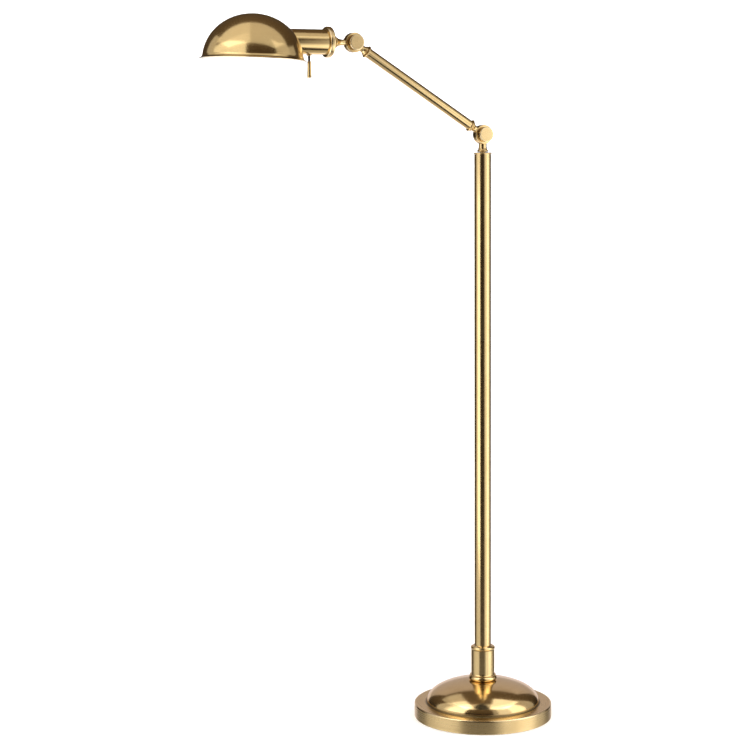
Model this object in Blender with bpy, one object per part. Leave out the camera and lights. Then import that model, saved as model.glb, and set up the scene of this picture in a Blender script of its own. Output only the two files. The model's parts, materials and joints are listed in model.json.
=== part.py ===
"""Pharmacy floor lamp in aged brass.

A weighted domed base carries a straight column.  A knuckle at the column's top
tilts and swivels the arm, and a second knuckle tilts a socket cup with a domed
metal shade.  A turn switch hangs below the cup.

Frame: +Z is up and the floor is z = 0.  The column's axis is the Z axis, and the
arm lies in the XZ plane and reaches towards -X.  Outlines are in millimetres and
the finished meshes are in metres.
"""
import math

import bmesh
import bpy
from mathutils import Matrix, Vector

MM = 0.001
GAP = 0.3                      # clearance between touching pieces

# Base
BASE_RADIUS = 127.0
SKIRT_BOTTOM = 0.8
LEDGE_HEIGHT = 26.5
SKIRT_EDGE_ROUND = 2.2
DOME_RADIUS = 104.0
DOME_CENTRE_HEIGHT = 29.0
DOME_RISE = 40.8
COVE_RADIUS = 2.6
COVER_WALL = 1.2
PAD_THICKNESS = 2.1
PAD_RADIUS = 117.0
WEIGHT_RADIUS = 118.0
WEIGHT_TOP = 20.0
WEIGHT_BOSS_RADIUS = 60.0
WEIGHT_BOSS_TOP = 36.0
NUT_RECESS_RADIUS = 19.0
NUT_RECESS_TOP = 12.0
BASE_WASHER_RADIUS = 16.0
BASE_NUT_FLATS = 17.0
BASE_NUT_BOTTOM = 4.6
BASE_NUT_TOP = 9.9
SPACER_RADIUS = 12.0
INLET_HEIGHT = 11.0
INLET_HOLE_RADIUS = 4.6
CORD_CHANNEL_HALF = 4.5

# Threaded pipe through the base, and the lead inside it
NIPPLE_RADIUS = 4.9
NIPPLE_BORE = 3.3
NIPPLE_HOLE = 5.6
NIPPLE_BOTTOM = 3.6
NIPPLE_TOP = 105.0
LEAD_RADIUS = 2.6

# Ferrule at the column's foot
FOOT_RING_RADIUS = 26.2
FOOT_RING_BOTTOM = 69.0
FOOT_RING_TOP = 77.8
FERRULE_RADIUS = 21.5
FERRULE_FLARE_RADIUS = 24.0
FERRULE_BEAD_RADIUS = 22.4
FERRULE_BEAD_HEIGHT = 129.6
FERRULE_BEAD_ROUND = 3.0
FERRULE_TOP = 134.5
FERRULE_FLOOR_TOP = 86.0
FERRULE_SCREW_RADIUS = 2.0

# Column
COLUMN_RADIUS = 15.2
COLUMN_WALL = 1.3
COLUMN_TOP = 1038.3
CAP_FLANGE_RADIUS = 16.6
CAP_FLANGE_TOP = 1041.0
CAP_PLUG_BOTTOM = 1022.0
PLUG_RADIUS = 13.6
SWIVEL_NUT_FLATS = 15.0

# Knuckles: half discs face each other across the arm's mid-plane
LOWER_PIVOT_HEIGHT = 1073.4
KNUCKLE_RADIUS = 17.0
HALF_INNER = 0.9
HALF_OUTER = 6.5
HALF_EDGE = 0.8
SWEEP_CLEARANCE = 0.5
NECK_START = 12.6              # inside the disc, measured from the pivot
NECK_BEAD_ROUND = 1.8
POST_NECK = (7.2, 10.1, 29.4)  # waist radius, bead radius, bead centre from the pivot
ARM_NECK = (5.9, 8.7, 26.2)
HEAD_NECK = (5.0, 10.2, 35.6)
ARM_STUD_RADIUS = 3.8
BOLT_RADIUS = 3.0
BOLT_HOLE = 3.3
BOLT_FRONT = 12.4
BOLT_REAR = 10.0
KNOB_RADIUS = 13.6
KNOB_BACK = 8.0
KNOB_FRONT = 16.0
KNOB_EDGE = 1.2
KNOB_HUB_RADIUS = 10.2
CAP_NUT_RADIUS = 8.5
CAP_NUT_SIDE = 2.4
CAP_NUT_CROWN = 3.4

# Arm
ARM_LENGTH = 300.0
ARM_ELEVATION = 32.0
ARM_TUBE_RADIUS = 8.6
ARM_TUBE_WALL = 1.0
ARM_COLLAR_RADIUS = 11.2
ARM_COLLAR_START = 28.3
ARM_COLLAR_END = 31.1
ARM_COLLAR_PLUG_END = 42.0
ARM_COLLAR_BORE = 4.1

# Head, measured along its axis from the upper pivot
END_CAP_START = 42.0
END_CAP_FLANGE_START = 44.8
END_CAP_FLANGE_END = 54.0
END_CAP_RADIUS = 26.6
END_CAP_FACE_RADIUS = 9.4
END_CAP_STEP = 3.4             # dome inside the flange's edge
END_CAP_EDGE_ROUND = 2.6
CAP_SCREW_RADIUS = 1.6
CUP_REACH = 50.0               # cup's untrimmed end, short of the shade's axis
CUP_RADIUS = 21.6
CUP_WALL = 1.0
CUP_START = 45.0
LAMPHOLDER_RADIUS = 17.0
LAMPHOLDER_START = 60.0
LAMPHOLDER_MOUTH = 115.0
SCREW_SHELL_RADIUS = 13.9
BULB_CAP_RADIUS = 13.0
BULB_CAP_START = 80.0
BULB_CAP_END = 105.5
BULB_RADIUS = 23.8
BULB_CENTRE = 143.5
BULB_WALL = 1.2

# Shade
SHADE_DISTANCE = 188.3         # shade axis from the upper pivot
SHADE_DROP = 32.0              # rim below the cup's axis
SHADE_TILT = 2.3               # degrees nose-up on the cup
SHADE_RADIUS = 86.0
SHADE_HEIGHT = 78.0
SHADE_WALL = 1.0
SHADE_LIP_RADIUS = 91.3
SHADE_LIP_START = 7.0          # height where the wall turns out
SHADE_LIP_HALF = 0.6           # half the lip's thickness
SHADE_HOLE_RADIUS = 19.8

# Turn switch
SWITCH_DISTANCE = 84.3
SWITCH_STEM_RADIUS = 2.1
SWITCH_STEM_TOP = 14.6         # drops below the cup's axis
SWITCH_KNOB_TOP = 33.1
SWITCH_KNOB_BOTTOM = 61.1
SWITCH_FOOT_RADIUS = 4.3
SWITCH_COLLAR_RADIUS = 3.0
SWITCH_BUSHING_RADIUS = 3.3
SWITCH_BUSHING_FLANGE = 4.6
SWITCH_STEM_SOCKET = 8.0       # stem's length inside the knob

ARM_ANGLE = math.radians(ARM_ELEVATION)


# ---------------------------------------------------------------- materials

def material(name, colour, metallic, roughness, alpha=1.0):
    """A Principled material."""
    made = bpy.data.materials.new(name)
    made.use_nodes = True
    shader = made.node_tree.nodes["Principled BSDF"]
    shader.inputs["Base Color"].default_value = (*colour, 1.0)
    shader.inputs["Metallic"].default_value = metallic
    shader.inputs["Roughness"].default_value = roughness
    shader.inputs["Alpha"].default_value = alpha
    return made


def make_materials():
    """Every finish used on the lamp."""
    return {
        "brass": material("aged_brass", (0.52, 0.36, 0.15), 1.0, 0.28),
        "iron": material("cast_iron", (0.06, 0.06, 0.06), 0.4, 0.7),
        "steel": material("zinc_steel", (0.55, 0.55, 0.52), 1.0, 0.35),
        "felt": material("felt_pad", (0.03, 0.06, 0.04), 0.0, 0.95),
        "fibre": material("fibre_washer", (0.05, 0.04, 0.035), 0.0, 0.8),
        "rubber": material("bushing_plastic", (0.02, 0.02, 0.02), 0.0, 0.5),
        "lead": material("lead_insulation", (0.08, 0.05, 0.03), 0.0, 0.5),
        "enamelled": material("shade_brass_enamelled", (0.52, 0.36, 0.15), 1.0, 0.28),
        "phenolic": material("lampholder_phenolic", (0.02, 0.02, 0.02), 0.0, 0.35),
        "shell": material("screw_shell_brass", (0.7, 0.55, 0.25), 1.0, 0.3),
        "bulb_metal": material("bulb_cap_nickel", (0.7, 0.7, 0.68), 1.0, 0.25),
        "glass": material("bulb_opal_glass", (0.95, 0.95, 0.92), 0.0, 0.15, 0.6),
    }


# ---------------------------------------------------------------- mesh tools

def finish_object(name, mesh, finish, parent, matrix, guide=False):
    """Link a mesh under its body's empty, with one material."""
    made = bpy.data.objects.new(name, mesh)
    bpy.context.scene.collection.objects.link(made)
    made.parent = parent
    made.matrix_local = matrix
    if finish is not None:
        mesh.materials.append(finish)
    mesh.shade_smooth()
    mesh.set_sharp_from_angle(angle=math.radians(35.0))
    if guide:
        made.hide_render = True
        made.display_type = "WIRE"
    return made


def turned_mesh(name, outline, segments):
    """Spin an outline of (radius, height) points, in millimetres, about Z.

    An outline whose ends are on the axis makes a solid piece, and any other
    outline is closed on itself and makes a ring.
    """
    solid = outline[0][0] == 0.0 and outline[-1][0] == 0.0
    shape = bmesh.new()
    points = [shape.verts.new((radius * MM, 0.0, height * MM)) for radius, height in outline]
    edges = [shape.edges.new(pair) for pair in zip(points, points[1:])]
    if not solid:
        edges.append(shape.edges.new((points[-1], points[0])))
    bmesh.ops.spin(
        shape,
        geom=points + edges,
        cent=(0.0, 0.0, 0.0),
        axis=(0.0, 0.0, 1.0),
        angle=2.0 * math.pi,
        steps=segments,
        use_duplicate=False,
    )
    bmesh.ops.remove_doubles(shape, verts=shape.verts, dist=1e-6)
    bmesh.ops.recalc_face_normals(shape, faces=shape.faces)
    mesh = bpy.data.meshes.new(name)
    shape.to_mesh(mesh)
    shape.free()
    return mesh


def turned(name, outline, finish, parent, matrix=None, segments=32, guide=False):
    """One turned piece, or one turned guide."""
    mesh = turned_mesh(name, outline, segments)
    return finish_object(name, mesh, finish, parent, matrix or Matrix(), guide)


def block_guide(name, low, high, parent):
    """A box-shaped cutter between two corners, in millimetres."""
    size = [(b - a) * MM for a, b in zip(low, high)]
    centre = [(a + b) * 0.5 * MM for a, b in zip(low, high)]
    shape = bmesh.new()
    bmesh.ops.create_cube(shape, size=1.0, matrix=Matrix.Diagonal((*size, 1.0)))
    mesh = bpy.data.meshes.new(name)
    shape.to_mesh(mesh)
    shape.free()
    return finish_object(name, mesh, None, parent, Matrix.Translation(centre), guide=True)


def combine(target, other, operation):
    """Add a Boolean modifier that uses a guide object."""
    step = target.modifiers.new(other.name, "BOOLEAN")
    step.operation = operation
    step.solver = "EXACT"
    step.object = other


def rod_outline(radius, start, end):
    """A plain solid cylinder."""
    return [(0.0, start), (radius, start), (radius, end), (0.0, end)]


def ring_outline(inner, outer, start, end):
    """A plain tube or washer."""
    return [(inner, start), (outer, start), (outer, end), (inner, end)]


def arc(centre_radius, centre_height, width, height, start, end, steps):
    """Points on an ellipse from one angle to another, in degrees."""
    points = []
    for step in range(steps + 1):
        angle = math.radians(start + (end - start) * step / steps)
        points.append((
            centre_radius + width * math.cos(angle),
            centre_height + height * math.sin(angle),
        ))
    return points


def hex_nut(name, bore, across_flats, start, end, finish, parent, matrix=None):
    """A hexagonal nut with a round bore."""
    corner = across_flats / math.sqrt(3.0)
    nut = turned(name, rod_outline(corner, start, end), finish, parent, matrix, segments=6)
    hole = turned(
        name + "_bore", rod_outline(bore, start - 1.0, end + 1.0), None, parent, matrix,
        segments=16, guide=True,
    )
    combine(nut, hole, "DIFFERENCE")
    return nut


def body_frame(name, parent, location, turn_about_y=0.0):
    """An empty on a joint's axis, turned about Y, that carries one moving body."""
    empty = bpy.data.objects.new(name, None)
    bpy.context.scene.collection.objects.link(empty)
    empty.parent = parent
    turn = Matrix.Rotation(turn_about_y, 4, "Y")
    empty.matrix_local = Matrix.Translation(Vector(location) * MM) @ turn
    return empty


TOWARDS_FRONT = Matrix.Rotation(math.radians(90.0), 4, "X")
TOWARDS_REAR = Matrix.Rotation(math.radians(-90.0), 4, "X")
TOWARDS_SIDE = Matrix.Rotation(math.radians(90.0), 4, "Y")


# ---------------------------------------------------------------- base

def cover_outline():
    """Spun cover: skirt, rounded edge, flat ledge, cove and dome, then back inside."""
    edge = SKIRT_EDGE_ROUND
    top = LEDGE_HEIGHT
    under = top - COVER_WALL
    inner_dome = DOME_RADIUS - COVER_WALL
    inner_rise = DOME_RISE - COVER_WALL
    hole_angle = math.degrees(math.acos(NIPPLE_HOLE / DOME_RADIUS))
    inner_angle = math.degrees(math.acos(NIPPLE_HOLE / inner_dome))
    cove_centre = DOME_RADIUS + COVE_RADIUS
    outline = [(BASE_RADIUS, SKIRT_BOTTOM)]
    outline += arc(BASE_RADIUS - edge, top - edge, edge, edge, 0.0, 90.0, 2)
    outline += arc(cove_centre, top + COVE_RADIUS, COVE_RADIUS, COVE_RADIUS, 270.0, 180.0, 2)
    outline += arc(0.0, DOME_CENTRE_HEIGHT, DOME_RADIUS, DOME_RISE, 3.0, hole_angle, 8)
    outline += arc(0.0, DOME_CENTRE_HEIGHT, inner_dome, inner_rise, inner_angle, 3.0, 5)
    outline += [(inner_dome, under), (BASE_RADIUS - edge, under)]
    outline += [(BASE_RADIUS - COVER_WALL, top - edge), (BASE_RADIUS - COVER_WALL, SKIRT_BOTTOM)]
    return outline


def weight_outline():
    """Cast slug with a centre boss and a nut recess in its underside."""
    bottom = PAD_THICKNESS + GAP
    return [
        (NUT_RECESS_RADIUS, bottom),
        (WEIGHT_RADIUS - 2.0, bottom),
        (WEIGHT_RADIUS, bottom + 2.0),
        (WEIGHT_RADIUS, WEIGHT_TOP - 2.0),
        (WEIGHT_RADIUS - 2.0, WEIGHT_TOP),
        (WEIGHT_BOSS_RADIUS + 3.0, WEIGHT_TOP),
        (WEIGHT_BOSS_RADIUS - 2.0, WEIGHT_BOSS_TOP - 2.0),
        (WEIGHT_BOSS_RADIUS - 5.0, WEIGHT_BOSS_TOP),
        (NIPPLE_HOLE, WEIGHT_BOSS_TOP),
        (NIPPLE_HOLE, NUT_RECESS_TOP),
        (NUT_RECESS_RADIUS, NUT_RECESS_TOP),
    ]


def make_base(finishes, stand):
    """Pad, weight, cover, clamp hardware and the cord's inlet."""
    pad = rod_outline(PAD_RADIUS, 0.0, PAD_THICKNESS)
    turned("base_pad", pad, finishes["felt"], stand, segments=28)

    weight = turned("base_weight", weight_outline(), finishes["iron"], stand, segments=28)
    channel = block_guide(
        "cord_channel", (NUT_RECESS_RADIUS - 4.0, -CORD_CHANNEL_HALF, 0.0),
        (WEIGHT_RADIUS + 4.0, CORD_CHANNEL_HALF, INLET_HEIGHT + 3.5), stand,
    )
    combine(weight, channel, "DIFFERENCE")

    cover = turned("base_cover", cover_outline(), finishes["brass"], stand, segments=36)
    sideways = Matrix.Translation((0.0, 0.0, INLET_HEIGHT * MM)) @ TOWARDS_SIDE
    hole = turned(
        "inlet_hole", rod_outline(INLET_HOLE_RADIUS, BASE_RADIUS - 8.0, BASE_RADIUS + 4.0),
        None, stand, sideways, segments=16, guide=True,
    )
    combine(cover, hole, "DIFFERENCE")

    flange = BASE_RADIUS + GAP
    bushing = [
        (NIPPLE_BORE, BASE_RADIUS - 6.0),
        (INLET_HOLE_RADIUS - GAP, BASE_RADIUS - 6.0),
        (INLET_HOLE_RADIUS - GAP, flange),
        (INLET_HOLE_RADIUS + 2.0, flange),
        (INLET_HOLE_RADIUS + 2.0, flange + 1.2),
        (INLET_HOLE_RADIUS + 1.0, flange + 2.2),
        (NIPPLE_BORE, flange + 2.2),
    ]
    turned("cord_inlet_bushing", bushing, finishes["rubber"], stand, sideways, segments=16)

    washer = ring_outline(NIPPLE_HOLE, BASE_WASHER_RADIUS, NUT_RECESS_TOP - 1.8, NUT_RECESS_TOP - GAP)
    turned("base_washer", washer, finishes["steel"], stand, segments=16)
    hex_nut(
        "base_lock_nut", NIPPLE_RADIUS + GAP, BASE_NUT_FLATS, BASE_NUT_BOTTOM, BASE_NUT_TOP,
        finishes["steel"], stand,
    )
    nipple = ring_outline(NIPPLE_BORE, NIPPLE_RADIUS, NIPPLE_BOTTOM, NIPPLE_TOP)
    turned("base_nipple", nipple, finishes["steel"], stand, segments=16)
    dome_inside = DOME_CENTRE_HEIGHT + DOME_RISE - COVER_WALL
    spacer = ring_outline(NIPPLE_HOLE, SPACER_RADIUS, WEIGHT_BOSS_TOP + GAP, dome_inside - 0.7)
    turned("base_spacer", spacer, finishes["steel"], stand, segments=16)


# ---------------------------------------------------------------- column

def foot_ring_outline():
    """Half-round ring that sits on the dome."""
    middle = 0.5 * (FOOT_RING_BOTTOM + FOOT_RING_TOP)
    half = 0.5 * (FOOT_RING_TOP - FOOT_RING_BOTTOM)
    bead_centre = FOOT_RING_RADIUS - half
    outline = [(NIPPLE_HOLE, FOOT_RING_BOTTOM + 1.4), (bead_centre - 2.0, FOOT_RING_BOTTOM + 1.4)]
    outline += arc(bead_centre, middle, half, half, -90.0, 90.0, 4)
    outline += [(NIPPLE_HOLE, FOOT_RING_TOP)]
    return outline


def ferrule_outline():
    """Turned cup around the column's foot, with a flared bottom and a beaded mouth."""
    bottom = FOOT_RING_TOP + GAP
    flare = FERRULE_FLARE_RADIUS - FERRULE_RADIUS
    bead = FERRULE_BEAD_ROUND
    bore = COLUMN_RADIUS + GAP
    outline = [(NIPPLE_HOLE, bottom), (FERRULE_FLARE_RADIUS, bottom)]
    outline += arc(FERRULE_FLARE_RADIUS, bottom + 1.0 + flare, flare, flare, 270.0, 180.0, 2)
    outline += [(FERRULE_RADIUS, FERRULE_BEAD_HEIGHT - bead)]
    outline += arc(FERRULE_BEAD_RADIUS - bead, FERRULE_BEAD_HEIGHT, bead, bead, -40.0, 60.0, 2)
    outline += [(bore + 2.6, FERRULE_TOP - 0.6), (bore + 1.6, FERRULE_TOP), (bore, FERRULE_TOP)]
    outline += [(bore, FERRULE_FLOOR_TOP), (NIPPLE_HOLE, FERRULE_FLOOR_TOP)]
    return outline


def top_cap_outline():
    """Thin rounded flange with a plug that fills the column's mouth."""
    bore = NIPPLE_RADIUS + GAP
    flange_bottom = COLUMN_TOP + GAP
    middle = 0.5 * (flange_bottom + CAP_FLANGE_TOP)
    half = 0.5 * (CAP_FLANGE_TOP - flange_bottom)
    outline = [(bore, CAP_PLUG_BOTTOM), (PLUG_RADIUS, CAP_PLUG_BOTTOM), (PLUG_RADIUS, flange_bottom)]
    outline += arc(CAP_FLANGE_RADIUS - half, middle, half, half, -90.0, 90.0, 2)
    outline += [(bore, CAP_FLANGE_TOP)]
    return outline


def make_column(finishes, stand):
    """Foot ring, ferrule, column, plugs and the lead inside."""
    turned("ferrule_ring", foot_ring_outline(), finishes["brass"], stand, segments=24)
    ferrule = turned("column_ferrule", ferrule_outline(), finishes["brass"], stand, segments=24)

    screw_height = FERRULE_FLOOR_TOP + 12.0
    sideways = Matrix.Translation((0.0, 0.0, screw_height * MM)) @ TOWARDS_REAR
    hole = turned(
        "grub_screw_hole",
        rod_outline(FERRULE_SCREW_RADIUS + GAP, COLUMN_RADIUS + 0.1, FERRULE_RADIUS + 2.0),
        None, stand, sideways, segments=12, guide=True,
    )
    combine(ferrule, hole, "DIFFERENCE")
    screw = rod_outline(FERRULE_SCREW_RADIUS, COLUMN_RADIUS + GAP, FERRULE_RADIUS - 0.4)
    turned("ferrule_grub_screw", screw, finishes["steel"], stand, sideways, segments=12)

    plug = ring_outline(NIPPLE_RADIUS + GAP, PLUG_RADIUS, FERRULE_FLOOR_TOP + GAP, NIPPLE_TOP + 2.0)
    turned("column_foot_plug", plug, finishes["steel"], stand, segments=16)
    tube = ring_outline(COLUMN_RADIUS - COLUMN_WALL, COLUMN_RADIUS, FERRULE_FLOOR_TOP + GAP, COLUMN_TOP)
    turned("column_tube", tube, finishes["brass"], stand, segments=28)
    turned("column_top_cap", top_cap_outline(), finishes["brass"], stand, segments=24)
    lead = rod_outline(LEAD_RADIUS, NUT_RECESS_TOP, CAP_PLUG_BOTTOM - 18.0)
    turned("column_lead", lead, finishes["lead"], stand, segments=10)


# ---------------------------------------------------------------- knuckles

def neck_outline(neck, stud_radius, stud_end):
    """Hourglass neck along Z: waist, trumpet flare, round bead and a threaded stud."""
    waist, bead, bead_centre = neck
    half = NECK_BEAD_ROUND
    flare_start = KNUCKLE_RADIUS + 3.6
    flare_end = bead_centre - half
    rise = bead - 1.4 - waist
    outline = [(0.0, NECK_START), (waist, NECK_START), (waist, flare_start)]
    for step in range(1, 4):
        share = step / 3.0
        outline.append((waist + rise * share * share, flare_start + (flare_end - flare_start) * share))
    outline += arc(bead - half, bead_centre, half, half, -60.0, 90.0, 2)
    outline += [(stud_radius, bead_centre + half), (stud_radius, stud_end), (0.0, stud_end)]
    return outline


def knuckle_half(name, finish, parent, side, neck, matrix=None):
    """One half of a knuckle: a bored half disc on its own side, and a neck on the mid-plane.

    side is +1 for the rear half (+Y) and -1 for the front half.
    """
    place = matrix or Matrix()
    outward = TOWARDS_REAR if side > 0 else TOWARDS_FRONT
    half = turned(name, neck, finish, parent, place, segments=16)
    disc = [
        (BOLT_HOLE, 0.1),
        (KNUCKLE_RADIUS, 0.1),
        (KNUCKLE_RADIUS, HALF_OUTER - HALF_EDGE),
        (KNUCKLE_RADIUS - HALF_EDGE, HALF_OUTER),
        (BOLT_HOLE, HALF_OUTER),
    ]
    disc_guide = turned(name + "_disc", disc, None, parent, place @ outward, 24, guide=True)
    sweep = rod_outline(KNUCKLE_RADIUS + SWEEP_CLEARANCE, -25.0, HALF_INNER)
    sweep_guide = turned(name + "_sweep", sweep, None, parent, place @ outward, 36, guide=True)
    combine(half, disc_guide, "UNION")
    combine(half, sweep_guide, "DIFFERENCE")
    return half


def knob_outline():
    """Flat-faced clamp knob with a smaller hub and a blind hole for its bolt."""
    outline = [(0.0, BOLT_FRONT + GAP), (BOLT_HOLE, BOLT_FRONT + GAP), (BOLT_HOLE, HALF_OUTER + GAP)]
    outline += [(KNOB_HUB_RADIUS, HALF_OUTER + GAP), (KNOB_HUB_RADIUS, KNOB_BACK)]
    outline += [(KNOB_RADIUS - 0.8, KNOB_BACK), (KNOB_RADIUS, KNOB_BACK + 0.8)]
    outline += arc(KNOB_RADIUS - KNOB_EDGE, KNOB_FRONT - KNOB_EDGE, KNOB_EDGE, KNOB_EDGE, 0.0, 90.0, 2)
    outline += [(0.0, KNOB_FRONT)]
    return outline


def cap_nut_outline():
    """Round domed nut on the bolt's rear end."""
    start = HALF_OUTER + GAP
    side = start + CAP_NUT_SIDE
    outline = [(0.0, BOLT_REAR + GAP), (BOLT_HOLE, BOLT_REAR + GAP), (BOLT_HOLE, start)]
    outline += [(CAP_NUT_RADIUS, start)]
    outline += arc(0.0, side, CAP_NUT_RADIUS, CAP_NUT_CROWN, 0.0, 90.0, 3)[:-1]
    outline += [(0.0, side + CAP_NUT_CROWN)]
    return outline


def make_clamp(prefix, finishes, arm_side, rear_side, clamp):
    """Fibre washer, bolt, knob and cap nut of one knuckle.

    The arm carries the washer, the rear half carries the nut, and the knob turns
    with its bolt.  Each entry is (parent, matrix of the pivot in that parent).
    """
    arm_parent, arm_place = arm_side
    rear_parent, rear_place = rear_side
    washer = ring_outline(BOLT_HOLE, KNUCKLE_RADIUS - 0.8, GAP - HALF_INNER, HALF_INNER - GAP)
    turned(prefix + "_friction_washer", washer, finishes["fibre"], arm_parent, arm_place @ TOWARDS_FRONT, 20)
    bolt = rod_outline(BOLT_RADIUS, -BOLT_REAR, BOLT_FRONT)
    turned(prefix + "_clamp_bolt", bolt, finishes["steel"], clamp, TOWARDS_FRONT, 16)
    turned(prefix + "_clamp_knob", knob_outline(), finishes["brass"], clamp, TOWARDS_FRONT, 24)
    rear_place = rear_place @ TOWARDS_REAR
    turned(prefix + "_cap_nut", cap_nut_outline(), finishes["brass"], rear_parent, rear_place, 16)


def make_lower_knuckle(finishes, post, arm, clamp):
    """Swivelling post, arm half and clamp at the column's top."""
    upside_down = Matrix.Rotation(math.pi, 4, "Y")
    neck = neck_outline(POST_NECK, NIPPLE_RADIUS - 0.1, LOWER_PIVOT_HEIGHT - CAP_PLUG_BOTTOM + 11.0)
    knuckle_half("lower_post_half", finishes["brass"], post, 1, neck, upside_down)

    seat = ring_outline(NIPPLE_RADIUS + GAP, 9.6, CAP_FLANGE_TOP + GAP, CAP_FLANGE_TOP + 0.9)
    lowered = Matrix.Translation((0.0, 0.0, -LOWER_PIVOT_HEIGHT * MM))
    turned("swivel_washer", seat, finishes["fibre"], post, lowered, 20)
    thrust = ring_outline(NIPPLE_RADIUS + GAP, 10.5, CAP_PLUG_BOTTOM - 1.3, CAP_PLUG_BOTTOM - GAP)
    turned("swivel_thrust_washer", thrust, finishes["steel"], post, lowered, 16)
    hex_nut(
        "swivel_nut", NIPPLE_RADIUS + GAP, SWIVEL_NUT_FLATS,
        CAP_PLUG_BOTTOM - 8.0, CAP_PLUG_BOTTOM - 1.6, finishes["steel"], post, lowered,
    )
    arm_neck = neck_outline(ARM_NECK, ARM_STUD_RADIUS, ARM_COLLAR_PLUG_END - 6.0)
    knuckle_half("lower_arm_half", finishes["brass"], arm, -1, arm_neck)
    make_clamp("lower", finishes, (arm, Matrix()), (post, Matrix()), clamp)


def make_arm(finishes, arm):
    """Tube, its two plugged collars, the lead and the upper arm half."""
    far_end = Matrix.Translation((0.0, 0.0, ARM_LENGTH * MM)) @ Matrix.Rotation(math.pi, 4, "Y")
    half = 0.5 * (ARM_COLLAR_END - ARM_COLLAR_START)
    middle = 0.5 * (ARM_COLLAR_END + ARM_COLLAR_START)
    plug = ARM_TUBE_RADIUS - ARM_TUBE_WALL - GAP
    collar = [(ARM_COLLAR_BORE, ARM_COLLAR_START)]
    collar += arc(ARM_COLLAR_RADIUS - half, middle, half, half, -90.0, 90.0, 2)
    collar += [(plug, ARM_COLLAR_END), (plug, ARM_COLLAR_PLUG_END)]
    collar += [(ARM_COLLAR_BORE, ARM_COLLAR_PLUG_END)]
    turned("lower_arm_collar", collar, finishes["brass"], arm, segments=20)
    turned("upper_arm_collar", collar, finishes["brass"], arm, far_end, segments=20)

    start = ARM_COLLAR_END + GAP
    tube = ring_outline(ARM_TUBE_RADIUS - ARM_TUBE_WALL, ARM_TUBE_RADIUS, start, ARM_LENGTH - start)
    turned("arm_tube", tube, finishes["brass"], arm, segments=24)
    lead_start = ARM_COLLAR_PLUG_END + 2.0
    lead = rod_outline(LEAD_RADIUS, lead_start, ARM_LENGTH - lead_start)
    turned("arm_lead", lead, finishes["lead"], arm, segments=10)

    neck = neck_outline(ARM_NECK, ARM_STUD_RADIUS, ARM_COLLAR_PLUG_END - 6.0)
    knuckle_half("upper_arm_half", finishes["brass"], arm, -1, neck, far_end)
    return far_end


# ---------------------------------------------------------------- head

def end_cap_outline():
    """Domed cap with a rounded flange around the cup's end."""
    bore = NIPPLE_RADIUS + GAP
    edge = END_CAP_EDGE_ROUND
    face = END_CAP_FACE_RADIUS
    start = END_CAP_FLANGE_START
    end = END_CAP_FLANGE_END
    dome_width = END_CAP_RADIUS - END_CAP_STEP - face
    outline = [(bore, END_CAP_START), (face, END_CAP_START)]
    outline += arc(face, start, dome_width, start - END_CAP_START, -90.0, -10.0, 3)[1:]
    outline += arc(END_CAP_RADIUS - edge, start + edge, edge, edge, -90.0, 0.0, 2)
    outline += arc(END_CAP_RADIUS - edge, end - edge, edge, edge, 0.0, 90.0, 2)
    outline += [(CUP_RADIUS + GAP, end), (CUP_RADIUS + GAP, CUP_START - GAP), (bore, CUP_START - GAP)]
    return outline


def shade_outline(grow):
    """Half-ellipsoid wall with an out-turned lip.  grow thickens a cutting guide."""
    outer_width = SHADE_RADIUS + grow
    outer_height = SHADE_HEIGHT + grow
    inner_width = SHADE_RADIUS - SHADE_WALL
    inner_height = SHADE_HEIGHT - SHADE_WALL
    low = SHADE_LIP_START
    half = SHADE_LIP_HALF
    inner_foot = math.degrees(math.asin((low - half) / inner_height))
    outer_foot = math.degrees(math.asin(low / outer_height))
    inner = arc(0.0, 0.0, inner_width, inner_height, 90.0, inner_foot, 8)
    outer = arc(0.0, 0.0, outer_width, outer_height, outer_foot, 90.0, 8)
    inner[0] = (0.0, inner_height)
    outer[-1] = (0.0, outer_height)
    lip = [
        (SHADE_RADIUS + half, 2.0 * half),
        (SHADE_LIP_RADIUS, -half),
        (SHADE_LIP_RADIUS, half),
        (SHADE_RADIUS + half + SHADE_WALL, 4.0 * half),
    ]
    return inner, lip, outer


def make_shade(finishes, head):
    """Spun dome with its lampholder hole, and the guide that trims the cup to it."""
    turn = Matrix.Rotation(math.radians(90.0 + SHADE_TILT), 4, "Y")
    place = Matrix.Translation((-SHADE_DROP * MM, 0.0, SHADE_DISTANCE * MM)) @ turn
    inner, lip, outer = shade_outline(0.0)
    shade = turned("shade", inner + lip + outer, finishes["enamelled"], head, place, segments=36)
    hole = turned(
        "shade_hole", rod_outline(SHADE_HOLE_RADIUS, SHADE_DISTANCE - 100.0, SHADE_DISTANCE - CUP_REACH),
        None, head, segments=28, guide=True,
    )
    combine(shade, hole, "DIFFERENCE")
    _, _, grown = shade_outline(GAP)
    trim = [(0.0, -4.0), (SHADE_RADIUS + GAP, -4.0)] + grown
    return turned("cup_trim", trim, None, head, place, segments=36, guide=True)


def lampholder_outline():
    """Moulded lampholder with a seating flange and an open mouth."""
    cavity = SCREW_SHELL_RADIUS + GAP
    floor = BULB_CAP_START - 4.0
    return [
        (0.0, LAMPHOLDER_START),
        (10.0, LAMPHOLDER_START),
        (LAMPHOLDER_RADIUS - 1.5, LAMPHOLDER_START + 2.0),
        (CUP_RADIUS - CUP_WALL - GAP, LAMPHOLDER_START + 2.0),
        (CUP_RADIUS - CUP_WALL - GAP, LAMPHOLDER_START + 6.0),
        (LAMPHOLDER_RADIUS, LAMPHOLDER_START + 6.0),
        (LAMPHOLDER_RADIUS, LAMPHOLDER_MOUTH - 1.0),
        (LAMPHOLDER_RADIUS - 1.0, LAMPHOLDER_MOUTH),
        (cavity, LAMPHOLDER_MOUTH),
        (cavity, floor),
        (0.0, floor),
    ]


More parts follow.
